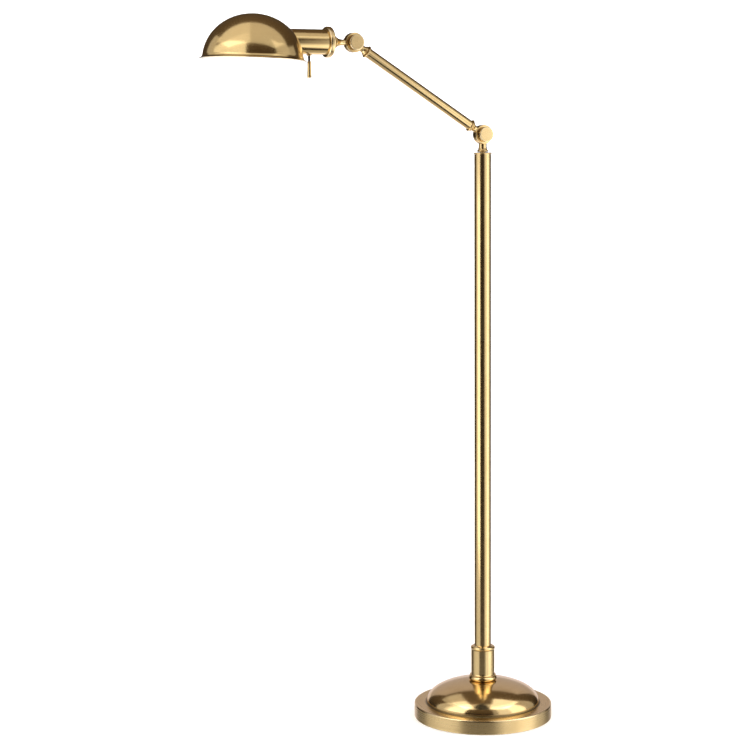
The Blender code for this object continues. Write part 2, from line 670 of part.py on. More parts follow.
def bulb_outline():
    """Open-necked opal globe: a ball that narrows to the cap's width."""
    neck = BULB_CAP_RADIUS - 0.5
    start = BULB_CAP_END + GAP
    tip = BULB_CENTRE + BULB_RADIUS

    def skin(offset):
        ball = arc(0.0, BULB_CENTRE, BULB_RADIUS - offset, BULB_RADIUS - offset, -35.0, 90.0, 5)
        ball[-1] = (0.0, tip - offset)
        foot = (neck - offset, start)
        middle = (neck + 0.8 - offset, start + 11.0)
        shoulder = (neck + 3.6 - offset, start + 17.0)
        return [foot, middle, shoulder] + ball

    return list(reversed(skin(BULB_WALL))) + skin(0.0)


def make_head(finishes, yoke, head):
    """Head half of the upper knuckle, end cap, cup, lampholder and bulb."""
    neck = neck_outline(HEAD_NECK, NIPPLE_RADIUS - 0.1, END_CAP_FLANGE_END - 1.0)
    knuckle_half("upper_head_half", finishes["brass"], yoke, 1, neck)
    hex_nut(
        "head_lock_nut", NIPPLE_RADIUS + GAP, SWIVEL_NUT_FLATS, CUP_START, CUP_START + 5.5,
        finishes["steel"], yoke,
    )

    cap = turned("cup_end_cap", end_cap_outline(), finishes["brass"], head, segments=28)
    screw_place = Matrix.Translation((0.0, 0.0, (END_CAP_FLANGE_END - 5.0) * MM)) @ TOWARDS_REAR
    screw_hole = turned(
        "cap_screw_hole",
        rod_outline(CAP_SCREW_RADIUS + GAP, CUP_RADIUS + 0.1, END_CAP_RADIUS + 2.0),
        None, head, screw_place, segments=12, guide=True,
    )
    combine(cap, screw_hole, "DIFFERENCE")
    screw = rod_outline(CAP_SCREW_RADIUS, CUP_RADIUS + GAP, END_CAP_RADIUS - 0.4)
    turned("cap_grub_screw", screw, finishes["steel"], head, screw_place, segments=12)

    trim = make_shade(finishes, head)
    tube = ring_outline(CUP_RADIUS - CUP_WALL, CUP_RADIUS, CUP_START, SHADE_DISTANCE - CUP_REACH)
    cup = turned("socket_cup", tube, finishes["brass"], head, segments=28)
    combine(cup, trim, "DIFFERENCE")

    downwards = (
        Matrix.Translation((0.0, 0.0, SWITCH_DISTANCE * MM)) @ Matrix.Rotation(math.radians(-90.0), 4, "Y")
    )
    cup_hole = turned(
        "bushing_hole",
        rod_outline(SWITCH_BUSHING_RADIUS + GAP, CUP_RADIUS - 4.0, CUP_RADIUS + 3.0),
        None, head, downwards, segments=20, guide=True,
    )
    combine(cup, cup_hole, "DIFFERENCE")

    holder = turned("lampholder_body", lampholder_outline(), finishes["phenolic"], head, segments=20)
    stem_hole = turned(
        "stem_hole",
        rod_outline(SWITCH_STEM_RADIUS + GAP, SCREW_SHELL_RADIUS - 1.0, LAMPHOLDER_RADIUS + 2.0),
        None, head, downwards, segments=16, guide=True,
    )
    combine(holder, stem_hole, "DIFFERENCE")
    bushing_bore = SWITCH_STEM_RADIUS + 0.2
    bushing_start = CUP_RADIUS - CUP_WALL - 1.0
    bushing = [
        (bushing_bore, bushing_start),
        (SWITCH_BUSHING_RADIUS, bushing_start),
        (SWITCH_BUSHING_RADIUS, CUP_RADIUS + GAP),
        (SWITCH_BUSHING_FLANGE, CUP_RADIUS + GAP),
        (SWITCH_BUSHING_FLANGE, CUP_RADIUS + 1.4),
        (SWITCH_BUSHING_FLANGE - 0.6, CUP_RADIUS + 2.0),
        (bushing_bore, CUP_RADIUS + 2.0),
    ]
    turned("switch_bushing", bushing, finishes["brass"], head, downwards, segments=16)

    shell = ring_outline(
        BULB_CAP_RADIUS + GAP, SCREW_SHELL_RADIUS, BULB_CAP_START - 0.5, LAMPHOLDER_MOUTH - 4.0,
    )
    turned("lampholder_shell", shell, finishes["shell"], head, segments=24)
    contact = rod_outline(4.0, BULB_CAP_START - 3.7, BULB_CAP_START - 2.0)
    turned("lampholder_contact", contact, finishes["shell"], head, segments=16)
    bulb_cap = [
        (0.0, BULB_CAP_START - 1.7),
        (4.5, BULB_CAP_START - 1.7),
        (BULB_CAP_RADIUS - 2.0, BULB_CAP_START),
        (BULB_CAP_RADIUS, BULB_CAP_START + 2.0),
        (BULB_CAP_RADIUS, BULB_CAP_END),
        (0.0, BULB_CAP_END),
    ]
    turned("bulb_cap", bulb_cap, finishes["bulb_metal"], head, segments=24)
    turned("bulb_globe", bulb_outline(), finishes["glass"], head, segments=20)


def make_switch(finishes, switch):
    """Turn switch: a dark stem, and a trumpet-shaped knob with a foot bead."""
    top = -SWITCH_KNOB_TOP
    bottom = -SWITCH_KNOB_BOTTOM
    stem_bottom = top - SWITCH_STEM_SOCKET
    stem = rod_outline(SWITCH_STEM_RADIUS, stem_bottom, -SWITCH_STEM_TOP)
    turned("switch_stem", stem, finishes["steel"], switch, segments=14)
    bore = SWITCH_STEM_RADIUS + GAP
    foot = SWITCH_FOOT_RADIUS
    collar = SWITCH_COLLAR_RADIUS
    knob = [
        (0.0, stem_bottom - GAP),
        (bore, stem_bottom - GAP),
        (bore, top),
        (collar, top),
        (collar + 0.3, top - 1.0),
        (collar + 0.4, top - 12.0),
        (collar + 0.7, bottom + 6.0),
        (foot - 0.2, bottom + 3.4),
        (foot - 0.8, bottom + 2.8),
        (foot, bottom + 2.2),
        (foot, bottom + 0.7),
        (foot - 0.7, bottom),
        (0.0, bottom),
    ]
    turned("switch_knob", knob, finishes["brass"], switch, segments=14)


# ---------------------------------------------------------------- assembly

def build():
    """Model the whole lamp."""
    for old in list(bpy.data.objects):
        bpy.data.objects.remove(old, do_unlink=True)
    finishes = make_materials()

    stand = body_frame("stand", None, (0.0, 0.0, 0.0))
    post = body_frame("post_swivel", stand, (0.0, 0.0, LOWER_PIVOT_HEIGHT))
    arm_turn = ARM_ANGLE - 0.5 * math.pi
    arm = body_frame("arm", post, (0.0, 0.0, 0.0), arm_turn)
    lower_clamp = body_frame("lower_clamp", arm, (0.0, 0.0, 0.0))
    head_turn = -ARM_ANGLE
    yoke = body_frame("head_yoke", arm, (0.0, 0.0, ARM_LENGTH), head_turn)
    upper_clamp = body_frame("upper_clamp", yoke, (0.0, 0.0, 0.0))
    head = body_frame("head", yoke, (0.0, 0.0, 0.0))
    switch = body_frame("switch", head, (0.0, 0.0, SWITCH_DISTANCE), 0.5 * math.pi)

    make_base(finishes, stand)
    make_column(finishes, stand)
    make_lower_knuckle(finishes, post, arm, lower_clamp)
    far_end = make_arm(finishes, arm)
    make_head(finishes, yoke, head)
    make_clamp("upper", finishes, (arm, far_end), (yoke, Matrix()), upper_clamp)
    make_switch(finishes, switch)


build()
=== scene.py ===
"""Looks of the brass pharmacy floor lamp.

Every visible turned piece is made again as a finely rounded lathe mesh around the
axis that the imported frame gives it.  Outlines are in millimetres, as (radius, height)
along the piece's own axis, and the meshes are in metres.
"""

import json
import math

import bmesh
import bpy
from mathutils import Matrix, Vector


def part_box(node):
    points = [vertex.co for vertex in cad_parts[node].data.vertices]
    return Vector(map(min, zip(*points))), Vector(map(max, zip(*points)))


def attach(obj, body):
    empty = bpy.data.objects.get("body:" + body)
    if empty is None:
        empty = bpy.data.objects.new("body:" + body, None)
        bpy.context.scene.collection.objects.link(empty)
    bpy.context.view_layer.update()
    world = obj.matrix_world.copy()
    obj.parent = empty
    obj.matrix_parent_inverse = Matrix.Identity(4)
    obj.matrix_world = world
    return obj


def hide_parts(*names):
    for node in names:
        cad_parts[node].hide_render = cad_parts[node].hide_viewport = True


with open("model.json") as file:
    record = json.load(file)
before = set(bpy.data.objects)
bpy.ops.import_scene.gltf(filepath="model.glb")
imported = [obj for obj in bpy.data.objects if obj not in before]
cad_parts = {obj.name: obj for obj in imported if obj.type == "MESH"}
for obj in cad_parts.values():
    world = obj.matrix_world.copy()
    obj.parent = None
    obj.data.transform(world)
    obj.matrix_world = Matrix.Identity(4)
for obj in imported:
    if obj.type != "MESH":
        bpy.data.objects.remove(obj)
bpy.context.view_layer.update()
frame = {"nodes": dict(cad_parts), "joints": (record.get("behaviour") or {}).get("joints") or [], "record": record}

MM = 0.001
GAP = 0.3                      # clearance between touching pieces
WEAR_WIDTH = 1.3               # how far polish or patina reaches from an edge
SHARP_ANGLE = math.radians(40.0)

joints = {joint["name"]: joint for joint in frame["joints"]}
LOWER = Vector(joints["arm_tilt"]["pos_m"])
UPPER = Vector(joints["head_tilt"]["pos_m"])
SWITCH = Vector(joints["switch_turn"]["pos_m"])

# Base and ferrule
LEDGE_HEIGHT = 26.5
LEDGE_ROUND = 2.2
DOME_RADIUS = 104.0
DOME_CENTRE_HEIGHT = 29.0
COVE_ROUND = 2.6
COVER_WALL = 1.2
INLET_HEIGHT = 11.0
INLET_HOLE_RADIUS = 4.6
INLET_DEPTH = 9.0              # hole's start inside the skirt
INLET_FLANGE = 2.3             # bushing's flange beyond its sleeve
NIPPLE_HOLE = 5.6
RING_FLOOR = 1.4               # foot ring's bore edge above the dome
FERRULE_RADIUS = 21.5
FERRULE_BEAD_RADIUS = 22.4
FERRULE_BEAD_HEIGHT = 129.6
FERRULE_BEAD_ROUND = 3.0
FERRULE_FLOOR_TOP = 86.0
FERRULE_SCREW_HOLE = 2.3

# Knuckles
KNUCKLE_RADIUS = 17.0
HALF_INNER = 0.9
HALF_OUTER = 6.5
HALF_EDGE = 0.8
BOLT_HOLE = 3.3
BOLT_FRONT = 12.4
SWEEP_CLEARANCE = 0.5
SWEEP_DEPTH = 25.0
NECK_START = 12.6
NECK_BEAD_ROUND = 1.8
FLARE_GAP = 3.6                # flare's start beyond the disc
FLARE_LIP = 1.4                # flare's mouth inside the bead's radius
ARM_STUD_RADIUS = 4.0
PIPE_STUD_RADIUS = 4.8
POST_NECK = (7.2, 10.1, 29.4)  # waist radius, bead radius, bead centre from the pivot
ARM_NECK = (5.9, 8.7, 26.2)
HEAD_NECK = (5.0, 10.2, 35.6)
KNOB_BACK = 8.0
KNOB_HUB_RADIUS = 10.2
KNOB_ROUND = 1.3
CAP_NUT_SIDE = 2.4

# Arm collars and head
COLLAR_END = 31.1
END_CAP_FACE_RADIUS = 9.4
END_CAP_FLANGE_START = 44.8
END_CAP_STEP = 3.4
END_CAP_EDGE_ROUND = 2.6
CAP_SCREW_HOLE = 1.9
CUP_RADIUS = 21.6
CUP_WALL = 1.0
CUP_REACH = 50.0               # cup's untrimmed end, short of the shade's axis
SHADE_RADIUS = 86.0
SHADE_HEIGHT = 78.0
SHADE_WALL = 1.0
SHADE_TILT = 2.3               # degrees nose-up
SHADE_LIP_START = 7.0
SHADE_LIP_HALF = 0.6
LIP_EDGE_CORNERS = 2           # corners of the lip that stay brass, before its white underside
SHADE_HOLE_RADIUS = 19.8
SHADE_DISTANCE = 188.3         # shade's axis from the upper pivot
SHADE_DROP = 32.0              # rim below the cup's axis
HOLDER_FLANGE = 3.3            # lampholder's flange beyond its body
BULB_CENTRE = 143.5
BULB_WALL = 1.2
BULB_FOOT_RADIUS = 12.5
BUSHING_FLANGE = 1.3           # switch bushing's flange beyond its sleeve

# Switch knob, along its own axis
SWITCH_MOUTH_RADIUS = 3.1
SWITCH_TOP_RADIUS = 3.25
SWITCH_FLARE = 0.75
SWITCH_FLARE_START = 0.8
SWITCH_FLARE_END = 3.6         # short of the knob's foot
SWITCH_GROOVE_RADIUS = 3.45
SWITCH_GROOVE = 2.9
SWITCH_BEAD = (1.1, 1.2)       # half width and half height


# ---------------------------------------------------------------- axes

def axis_frame(origin, direction):
    """A frame at a point with its Z axis along a direction."""
    up = Vector(direction).normalized()
    helper = Vector((0.0, 1.0, 0.0)) if abs(up.y) < 0.9 else Vector((0.0, 0.0, 1.0))
    side = helper.cross(up).normalized()
    forward = up.cross(side)
    turn = Matrix((side, forward, up)).transposed().to_4x4()
    return Matrix.Translation(origin) @ turn


COLUMN_AXIS = Matrix.Identity(4)
POST_AXIS = axis_frame(LOWER, (0.0, 0.0, -1.0))
ARM_AXIS = axis_frame(LOWER, UPPER - LOWER)
ARM_BACK_AXIS = axis_frame(UPPER, LOWER - UPPER)
HEAD_AXIS = axis_frame(UPPER, (-1.0, 0.0, 0.0))
SWITCH_AXIS = axis_frame(Vector((SWITCH.x, SWITCH.y, UPPER.z)), (0.0, 0.0, -1.0))
SHADE_AXIS = (
    Matrix.Translation(UPPER + Vector((-SHADE_DISTANCE, 0.0, -SHADE_DROP)) * MM)
    @ Matrix.Rotation(math.radians(SHADE_TILT), 4, "Y")
)


def crosswise(pivot, side):
    """The bolt's axis at a pivot: side is -1 towards the knobs and +1 towards the nuts."""
    return axis_frame(pivot, (0.0, float(side), 0.0))


def span(node, place):
    """A CAD node's start, end, inner and outer radius along an axis, in millimetres."""
    back = place.inverted()
    points = [back @ vertex.co / MM for vertex in frame["nodes"][node].data.vertices]
    heights = [point.z for point in points]
    radii = [math.hypot(point.x, point.y) for point in points]
    return min(heights), max(heights), min(radii), max(radii)


def frame_middle(node):
    """Centre of a CAD node's box."""
    box_low, box_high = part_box(node)
    return 0.5 * (box_low + box_high)


# ---------------------------------------------------------------- outlines

def arc(centre_radius, centre_height, width, height, start, end, steps):
    """Corners without rounding on an ellipse, from one angle to another in degrees."""
    corners = []
    for step in range(steps + 1):
        angle = math.radians(start + (end - start) * step / steps)
        corners.append((
            centre_radius + width * math.cos(angle),
            centre_height + height * math.sin(angle),
            0.0,
        ))
    return corners


def doubled_area(corners):
    """Twice the signed area of an outline."""
    total = 0.0
    for here, after in zip(corners, corners[1:] + corners[:1]):
        total += here[0] * after[1] - after[0] * here[1]
    return total


def rounded(corners, steps=6):
    """Outline points (radius, height, edge) with each (radius, height, rounding) corner made an arc.

    edge is 1 on an outer edge, -1 in an inner corner and 0 elsewhere.
    """
    outward = 1.0 if doubled_area(corners) > 0.0 else -1.0
    points = []
    for index, (radius, height, rounding) in enumerate(corners):
        if rounding == 0.0:
            points.append((radius, height, 0.0))
            continue
        here = Vector((radius, height))
        before = Vector(corners[index - 1][:2]) - here
        after = Vector(corners[(index + 1) % len(corners)][:2]) - here
        before.normalize()
        after.normalize()
        half = 0.5 * before.angle(after)
        centre = here + (before + after).normalized() * (rounding / math.sin(half))
        first = here + before * (rounding / math.tan(half)) - centre
        turn = -before.x * after.y + before.y * after.x
        sweep = math.copysign(math.pi - 2.0 * half, turn)
        start = math.atan2(first.y, first.x)
        edge = math.copysign(1.0, turn) * outward
        for step in range(steps + 1):
            angle = start + sweep * step / steps
            points.append((
                centre.x + rounding * math.cos(angle),
                centre.y + rounding * math.sin(angle),
                edge,
            ))
    return points


def supported(points, closed):
    """The outline with extra points beside each edge, so that wear and shading stay narrow."""
    result = []
    count = len(points)
    for index in range(count if closed else count - 1):
        here = points[index]
        after = points[(index + 1) % count]
        result.append(here)
        length = math.hypot(after[0] - here[0], after[1] - here[1])
        if length < 3.0 * WEAR_WIDTH:
            continue
        for share in (WEAR_WIDTH / length, 1.0 - WEAR_WIDTH / length):
            result.append((
                here[0] + (after[0] - here[0]) * share,
                here[1] + (after[1] - here[1]) * share,
                0.0,
            ))
    if not closed:
        result.append(points[-1])
    return result


# ---------------------------------------------------------------- meshes

def lathe_mesh(name, corners, segments, inside_from=None):
    """Turned mesh of an outline, with a UV map that runs around (U) and along it (V, metres).

    An outline that starts and ends on the axis is solid.  Faces whose outline lies
    after the corner numbered inside_from take the second material.
    """
    solid = corners[0][0] == 0.0 and corners[-1][0] == 0.0
    points = supported(rounded(corners), not solid)
    switch_point = None
    if inside_from is not None:
        mark = corners[inside_from]
        switch_point = min(
            range(len(points)),
            key=lambda index: math.hypot(points[index][0] - mark[0], points[index][1] - mark[1]),
        )
    shape = bmesh.new()
    layer = shape.loops.layers.uv.new("turned")
    wear = shape.verts.layers.float.new("wear")
    rings = []
    for radius, height, edge in points:
        circle = []
        for segment in range(1 if radius == 0.0 else segments):
            angle = 2.0 * math.pi * segment / segments
            vertex = shape.verts.new((
                radius * MM * math.cos(angle), radius * MM * math.sin(angle), height * MM,
            ))
            vertex[wear] = edge
            circle.append(vertex)
        rings.append(circle)

    along = 0.0
    pairs = len(points) - 1 if solid else len(points)
    for index in range(pairs):
        first = rings[index]
        second = rings[(index + 1) % len(points)]
        here = points[index]
        after = points[(index + 1) % len(points)]
        reach = along + math.hypot(after[0] - here[0], after[1] - here[1]) * MM
        for segment in range(segments):
            nearer = segment / segments
            further = (segment + 1) / segments
            corner_list = [
                (first[segment % len(first)], nearer, along),
                (first[(segment + 1) % len(first)], further, along),
                (second[(segment + 1) % len(second)], further, reach),
                (second[segment % len(second)], nearer, reach),
            ]
            if len(first) == 1:
                corner_list.pop(0)
            elif len(second) == 1:
                corner_list.pop(3)
            face = shape.faces.new([corner[0] for corner in corner_list])
            for loop, corner in zip(face.loops, corner_list):
                loop[layer].uv = (corner[1], corner[2])
            if switch_point is not None and index >= switch_point:
                face.material_index = 1
        along = reach
    bmesh.ops.recalc_face_normals(shape, faces=shape.faces)
    mesh = bpy.data.meshes.new(name)
    shape.to_mesh(mesh)
    shape.free()
    mesh.shade_smooth()
    mesh.set_sharp_from_angle(angle=SHARP_ANGLE)
    return mesh


def loose(name, corners, place, segments=96, inside_from=None, finishes=()):
    """A turned object in its place, with no body yet."""
    mesh = lathe_mesh(name, corners, segments, inside_from)
    for finish in finishes:
        mesh.materials.append(finish)
    mesh.transform(place)
    made = bpy.data.objects.new(name, mesh)
    bpy.context.scene.collection.objects.link(made)
    return made


def carve(target, other, operation):
    """Apply a Boolean with another object, which is used up."""
    step = target.modifiers.new("carve", "BOOLEAN")
    step.operation = operation
    step.solver = "EXACT"
    step.object = other
    depsgraph = bpy.context.evaluated_depsgraph_get()
    result = bpy.data.meshes.new_from_object(target.evaluated_get(depsgraph))
    target.modifiers.clear()
    target.data = result
    bpy.data.objects.remove(other, do_unlink=True)
    result.set_sharp_from_angle(angle=SHARP_ANGLE)


def settle(piece, finish, body, slot_name, *nodes):
    """Give a piece its finish if it has none, its body and the CAD nodes that it stands for."""
    if finish is not None:
        piece.data.materials.clear()
        piece.data.materials.append(finish)
    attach(piece, body)
    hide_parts(*nodes)


def turned(node, corners, place, finish, body, slot_name, segments=96):
    """A turned piece that stands for one CAD node."""
    piece = loose(node + "_turned", corners, place, segments)
    settle(piece, finish, body, slot_name, node)


def rod(radius, start, end, rounding=0.0):
    """Outline of a solid bar."""
    return [(0.0, start, 0.0), (radius, start, rounding), (radius, end, rounding), (0.0, end, 0.0)]


def ring(inner, outer, start, end, rounding=0.0):
    """Outline of a tube or washer, rounded on its outer edges."""
    return [(inner, start, 0.0), (outer, start, rounding), (outer, end, rounding), (inner, end, 0.0)]


# ---------------------------------------------------------------- materials

class Finish:
    """A Principled material that is built up from a few node helpers."""

    def __init__(self, name):
        self.material = bpy.data.materials.new(name)
        self.material.use_nodes = True
        self.tree = self.material.node_tree
        self.shader = self.tree.nodes["Principled BSDF"]

    def node(self, kind, **settings):
        made = self.tree.nodes.new(kind)
        for key, value in settings.items():
            setattr(made, key, value)
        return made

    def link(self, source, target):
        self.tree.links.new(source, target)

    def coordinates(self, turned_map, scale):
        """Coordinates along a turned map, or in the object's own space."""
        if turned_map:
            source = self.node("ShaderNodeUVMap", uv_map="turned").outputs["UV"]
        else:
            source = self.node("ShaderNodeTexCoord").outputs["Object"]
        mapping = self.node("ShaderNodeMapping")
        mapping.inputs["Scale"].default_value = scale
        self.link(source, mapping.inputs["Vector"])
        return mapping.outputs["Vector"]

    def noise(self, coordinates, detail=3.0, roughness=0.55):
        made = self.node("ShaderNodeTexNoise")
        made.inputs["Scale"].default_value = 1.0
        made.inputs["Detail"].default_value = detail
        made.inputs["Roughness"].default_value = roughness
        self.link(coordinates, made.inputs["Vector"])
        return made.outputs["Fac"]

    def spread(self, value, low, high, to_low, to_high):
        """A value stretched from one range to another and held inside it."""
        made = self.node("ShaderNodeMapRange", clamp=True)
        self.link(value, made.inputs["Value"])
        made.inputs["From Min"].default_value = low
        made.inputs["From Max"].default_value = high
        made.inputs["To Min"].default_value = to_low
        made.inputs["To Max"].default_value = to_high
        return made.outputs["Result"]

    def combine(self, operation, first, second):
        made = self.node("ShaderNodeMath", operation=operation)
        for value, socket in ((first, made.inputs[0]), (second, made.inputs[1])):
            if isinstance(value, float):
                socket.default_value = value
            else:
                self.link(value, socket)
        return made.outputs["Value"]

    def blend(self, share, first, second):
        """A colour between two colours."""
        made = self.node("ShaderNodeMix", data_type="RGBA")
        sockets = [socket for socket in made.inputs if socket.type == "RGBA"]
        self.link(share, made.inputs["Factor"])
        for value, socket in zip((first, second), sockets):
            if isinstance(value, tuple):
                socket.default_value = (*value, 1.0)
            else:
                self.link(value, socket)
        return [socket for socket in made.outputs if socket.type == "RGBA"][0]

    def bump(self, height, distance, strength):
        made = self.node("ShaderNodeBump")
        made.inputs["Distance"].default_value = distance
        made.inputs["Strength"].default_value = strength
        self.link(height, made.inputs["Height"])
        self.link(made.outputs["Normal"], self.shader.inputs["Normal"])

    def attribute(self, name):
        return self.node("ShaderNodeAttribute", attribute_name=name).outputs["Fac"]

    def set(self, **values):
        for key, value in values.items():
            self.shader.inputs[key.replace("_", " ")].default_value = value


BRASS = (0.82, 0.625, 0.325)
# The next two colours are darker copies of BRASS, for the lamp shade with its cup and switch knob, and for the
# clamp knobs: painted shade, standing in for the dimmer light that these parts mirror
SPUN_BRASS_WITH_PAINTED_SHADE = (0.76, 0.58, 0.285)
KNOB_BRASS_WITH_PAINTED_SHADE = (0.72, 0.55, 0.295)
BRASS_AGED = (0.69, 0.50, 0.235)
BRASS_POLISHED = (0.93, 0.76, 0.48)
BRASS_PATINA = tuple(0.25 * channel for channel in BRASS_AGED)

# Noise scales, in periods a metre: through the metal, or around and along the turned map
MOTTLE = (26.0, 26.0, 26.0)
CLOUD = (7.0, 7.0, 7.0)
SPECKS = (420.0, 420.0, 420.0)
COARSE_TURNING = (2.0, 380.0, 1.0)
FINE_TURNING = (5.0, 2600.0, 1.0)


def brass_colour(finish, base, mottle, coarse, wear):
    """Base brass that ages in clouds, along turning marks and in specks, and wears at its edges."""
    cloud = finish.noise(finish.coordinates(False, CLOUD), 2.0)
    specks = finish.noise(finish.coordinates(False, SPECKS), 2.0)
    tint = finish.spread(mottle, 0.35, 0.7, 0.0, 0.75)
    tint = finish.combine("MULTIPLY", tint, finish.spread(cloud, 0.3, 0.7, 0.35, 1.0))
    colour = finish.blend(tint, base, BRASS_AGED)
    lines = finish.spread(coarse, 0.3, 0.75, 0.0, 0.28)
    colour = finish.blend(lines, colour, BRASS_AGED)
    spots = finish.spread(specks, 0.66, 0.76, 0.0, 0.32)
    colour = finish.blend(spots, colour, BRASS_PATINA)
    rub = finish.spread(wear, 0.15, 1.0, 0.0, 0.8)
    rub = finish.combine("MULTIPLY", rub, finish.spread(mottle, 0.3, 0.6, 0.35, 1.0))
    colour = finish.blend(rub, colour, BRASS_POLISHED)
    grime = finish.spread(wear, -0.1, -1.0, 0.0, 0.92)
    return finish.blend(grime, colour, BRASS_PATINA)


def brass(name, base, roughness, marks, tangent=0.0):
    """Lacquered aged brass.  marks is the turning marks' depth in metres, tangent their stretch."""
    finish = Finish(name)
    finish.set(Metallic=1.0, Anisotropic=tangent)
    mottle = finish.noise(finish.coordinates(False, MOTTLE), 5.0, 0.6)
    coarse = finish.noise(finish.coordinates(True, COARSE_TURNING), 3.0)
    fine = finish.noise(finish.coordinates(True, FINE_TURNING), 2.0)
    wear = finish.attribute("wear")
    colour = brass_colour(finish, base, mottle, coarse, wear)
    finish.link(colour, finish.shader.inputs["Base Color"])

    rough = finish.spread(coarse, 0.25, 0.75, roughness - 0.025, roughness + 0.035)
    rough = finish.combine("ADD", rough, finish.spread(mottle, 0.3, 0.7, -0.01, 0.025))
    rough = finish.combine("ADD", rough, finish.spread(wear, -1.0, 1.0, 0.12, -0.04))
    finish.link(rough, finish.shader.inputs["Roughness"])

    height = finish.combine("MULTIPLY", coarse, 0.6)
    height = finish.combine("ADD", height, finish.combine("MULTIPLY", fine, 0.4))
    finish.bump(height, marks, 0.5)
    if tangent:
        direction = finish.node("ShaderNodeTangent", direction_type="UV_MAP", uv_map="turned")
        finish.link(direction.outputs["Tangent"], finish.shader.inputs["Tangent"])
    return finish.material


def plain(name, base, dark, metallic, roughness, grain, relief):
    """Any other finish: two close colours, uneven gloss and a grain of so many periods a metre."""
    finish = Finish(name)
    finish.set(Metallic=metallic)
    broad = finish.noise(finish.coordinates(False, (grain * 0.12,) * 3), 3.0)
    fine = finish.noise(finish.coordinates(False, (grain,) * 3), 4.0, 0.65)
    share = finish.spread(broad, 0.3, 0.7, 0.0, 0.5)
    share = finish.combine("ADD", share, finish.spread(fine, 0.35, 0.7, 0.0, 0.5))
    finish.link(finish.blend(share, base, dark), finish.shader.inputs["Base Color"])
    rough = finish.spread(fine, 0.3, 0.7, roughness * 0.85, min(1.0, roughness * 1.15))
    finish.link(rough, finish.shader.inputs["Roughness"])
    finish.bump(fine, relief, 0.6)
    return finish.material


SATIN = brass("brass_satin", BRASS, 0.23, 4e-6, 0.35)
FERRULE_BRASS = brass("brass_ferrule", BRASS, 0.15, 2e-6)
# KNOB_FACE and SPUN take the darker brass copies above, whose darkness is painted shade
KNOB_FACE = brass("brass_knob", KNOB_BRASS_WITH_PAINTED_SHADE, 0.19, 9e-6, 0.3)
COLUMN_BRASS = brass("brass_column", BRASS, 0.12, 1e-6, 0.2)
BRIGHT = brass("brass_bright", BRASS, 0.10, 2e-6)
SPUN = brass("brass_spun", SPUN_BRASS_WITH_PAINTED_SHADE, 0.12, 2e-6)
DOME = brass("brass_dome", BRASS, 0.10, 2e-6)
STEEL = plain("zinc_steel", (0.50, 0.49, 0.46), (0.36, 0.35, 0.33), 1.0, 0.34, 900.0, 2e-5)
DARK_STEEL = plain("dark_steel", (0.11, 0.09, 0.07), (0.05, 0.04, 0.03), 1.0, 0.30, 900.0, 1e-5)
IRON = plain("cast_iron", (0.06, 0.06, 0.06), (0.03, 0.03, 0.03), 0.3, 0.68, 260.0, 3e-4)
FELT = plain("green_felt", (0.032, 0.066, 0.042), (0.016, 0.036, 0.022), 0.0, 0.95, 1400.0, 6e-4)
FIBRE = plain("vulcanised_fibre", (0.05, 0.04, 0.035), (0.03, 0.022, 0.018), 0.0, 0.75, 800.0, 5e-5)
BUSHING = plain("bushing_plastic", (0.022, 0.022, 0.022), (0.014, 0.014, 0.014), 0.0, 0.45, 700.0, 3e-5)
LEAD = plain("lead_insulation", (0.085, 0.05, 0.03), (0.05, 0.03, 0.02), 0.0, 0.5, 500.0, 4e-5)
PHENOLIC = plain("phenolic", (0.024, 0.022, 0.02), (0.012, 0.011, 0.01), 0.0, 0.32, 500.0, 3e-5)
CONTACT = plain("contact_brass", (0.72, 0.56, 0.26), (0.6, 0.44, 0.18), 1.0, 0.26, 800.0, 1e-5)
NICKEL = plain("bulb_nickel", (0.70, 0.69, 0.66), (0.58, 0.57, 0.54), 1.0, 0.24, 700.0, 1e-5)
ENAMEL = plain("white_enamel", (0.86, 0.85, 0.82), (0.80, 0.785, 0.75), 0.0, 0.22, 140.0, 5e-5)
GLASS = plain("opal_glass", (0.90, 0.90, 0.87), (0.85, 0.84, 0.80), 0.0, 0.14, 120.0, 1e-5)


# ---------------------------------------------------------------- base and column

def make_base():
    """Spun cover with its cord hole, and the bushing."""
    bottom, top, _, outer = span("base_cover", COLUMN_AXIS)
    rise = top - DOME_CENTRE_HEIGHT
    inner_dome = DOME_RADIUS - COVER_WALL
    inner_rise = rise - COVER_WALL
    under = LEDGE_HEIGHT - COVER_WALL
    hole_angle = math.degrees(math.acos(NIPPLE_HOLE / DOME_RADIUS))
    inner_angle = math.degrees(math.acos(NIPPLE_HOLE / inner_dome))
    corners = [
        (outer - COVER_WALL, bottom, 0.0),
        (outer, bottom, 0.5),
        (outer, LEDGE_HEIGHT, LEDGE_ROUND),
        (DOME_RADIUS + 0.1, LEDGE_HEIGHT, COVE_ROUND - 0.6),
    ]
    dome_from = len(corners)
    corners += arc(0.0, DOME_CENTRE_HEIGHT, DOME_RADIUS, rise, 2.5, hole_angle, 56)
    corners += arc(0.0, DOME_CENTRE_HEIGHT, inner_dome, inner_rise, inner_angle, 2.0, 24)
    corners += [(inner_dome, under, 0.0), (outer - COVER_WALL, under, 1.0)]
    cover = loose("base_cover_turned", corners, COLUMN_AXIS, 192, dome_from, (SATIN, DOME))
    inlet = axis_frame(Vector((0.0, 0.0, INLET_HEIGHT)) * MM, (1.0, 0.0, 0.0))
    hole = rod(INLET_HOLE_RADIUS, outer - INLET_DEPTH, outer + 4.0)
    carve(cover, loose("inlet_hole", hole, inlet, 40), "DIFFERENCE")
    settle(cover, None, "stand", "brass", "base_cover")

    start, end, bore, _ = span("cord_inlet_bushing", inlet)
    flange = outer + GAP
    sleeve = INLET_HOLE_RADIUS - GAP
    brim = sleeve + INLET_FLANGE
    corners = [
        (bore, start, 0.4), (sleeve, start, 0.3), (sleeve, flange, 0.0),
        (brim, flange, 0.2), (brim, end, 1.3), (bore, end, 0.9),
    ]
    turned("cord_inlet_bushing", corners, inlet, BUSHING, "stand", "bushing", 40)


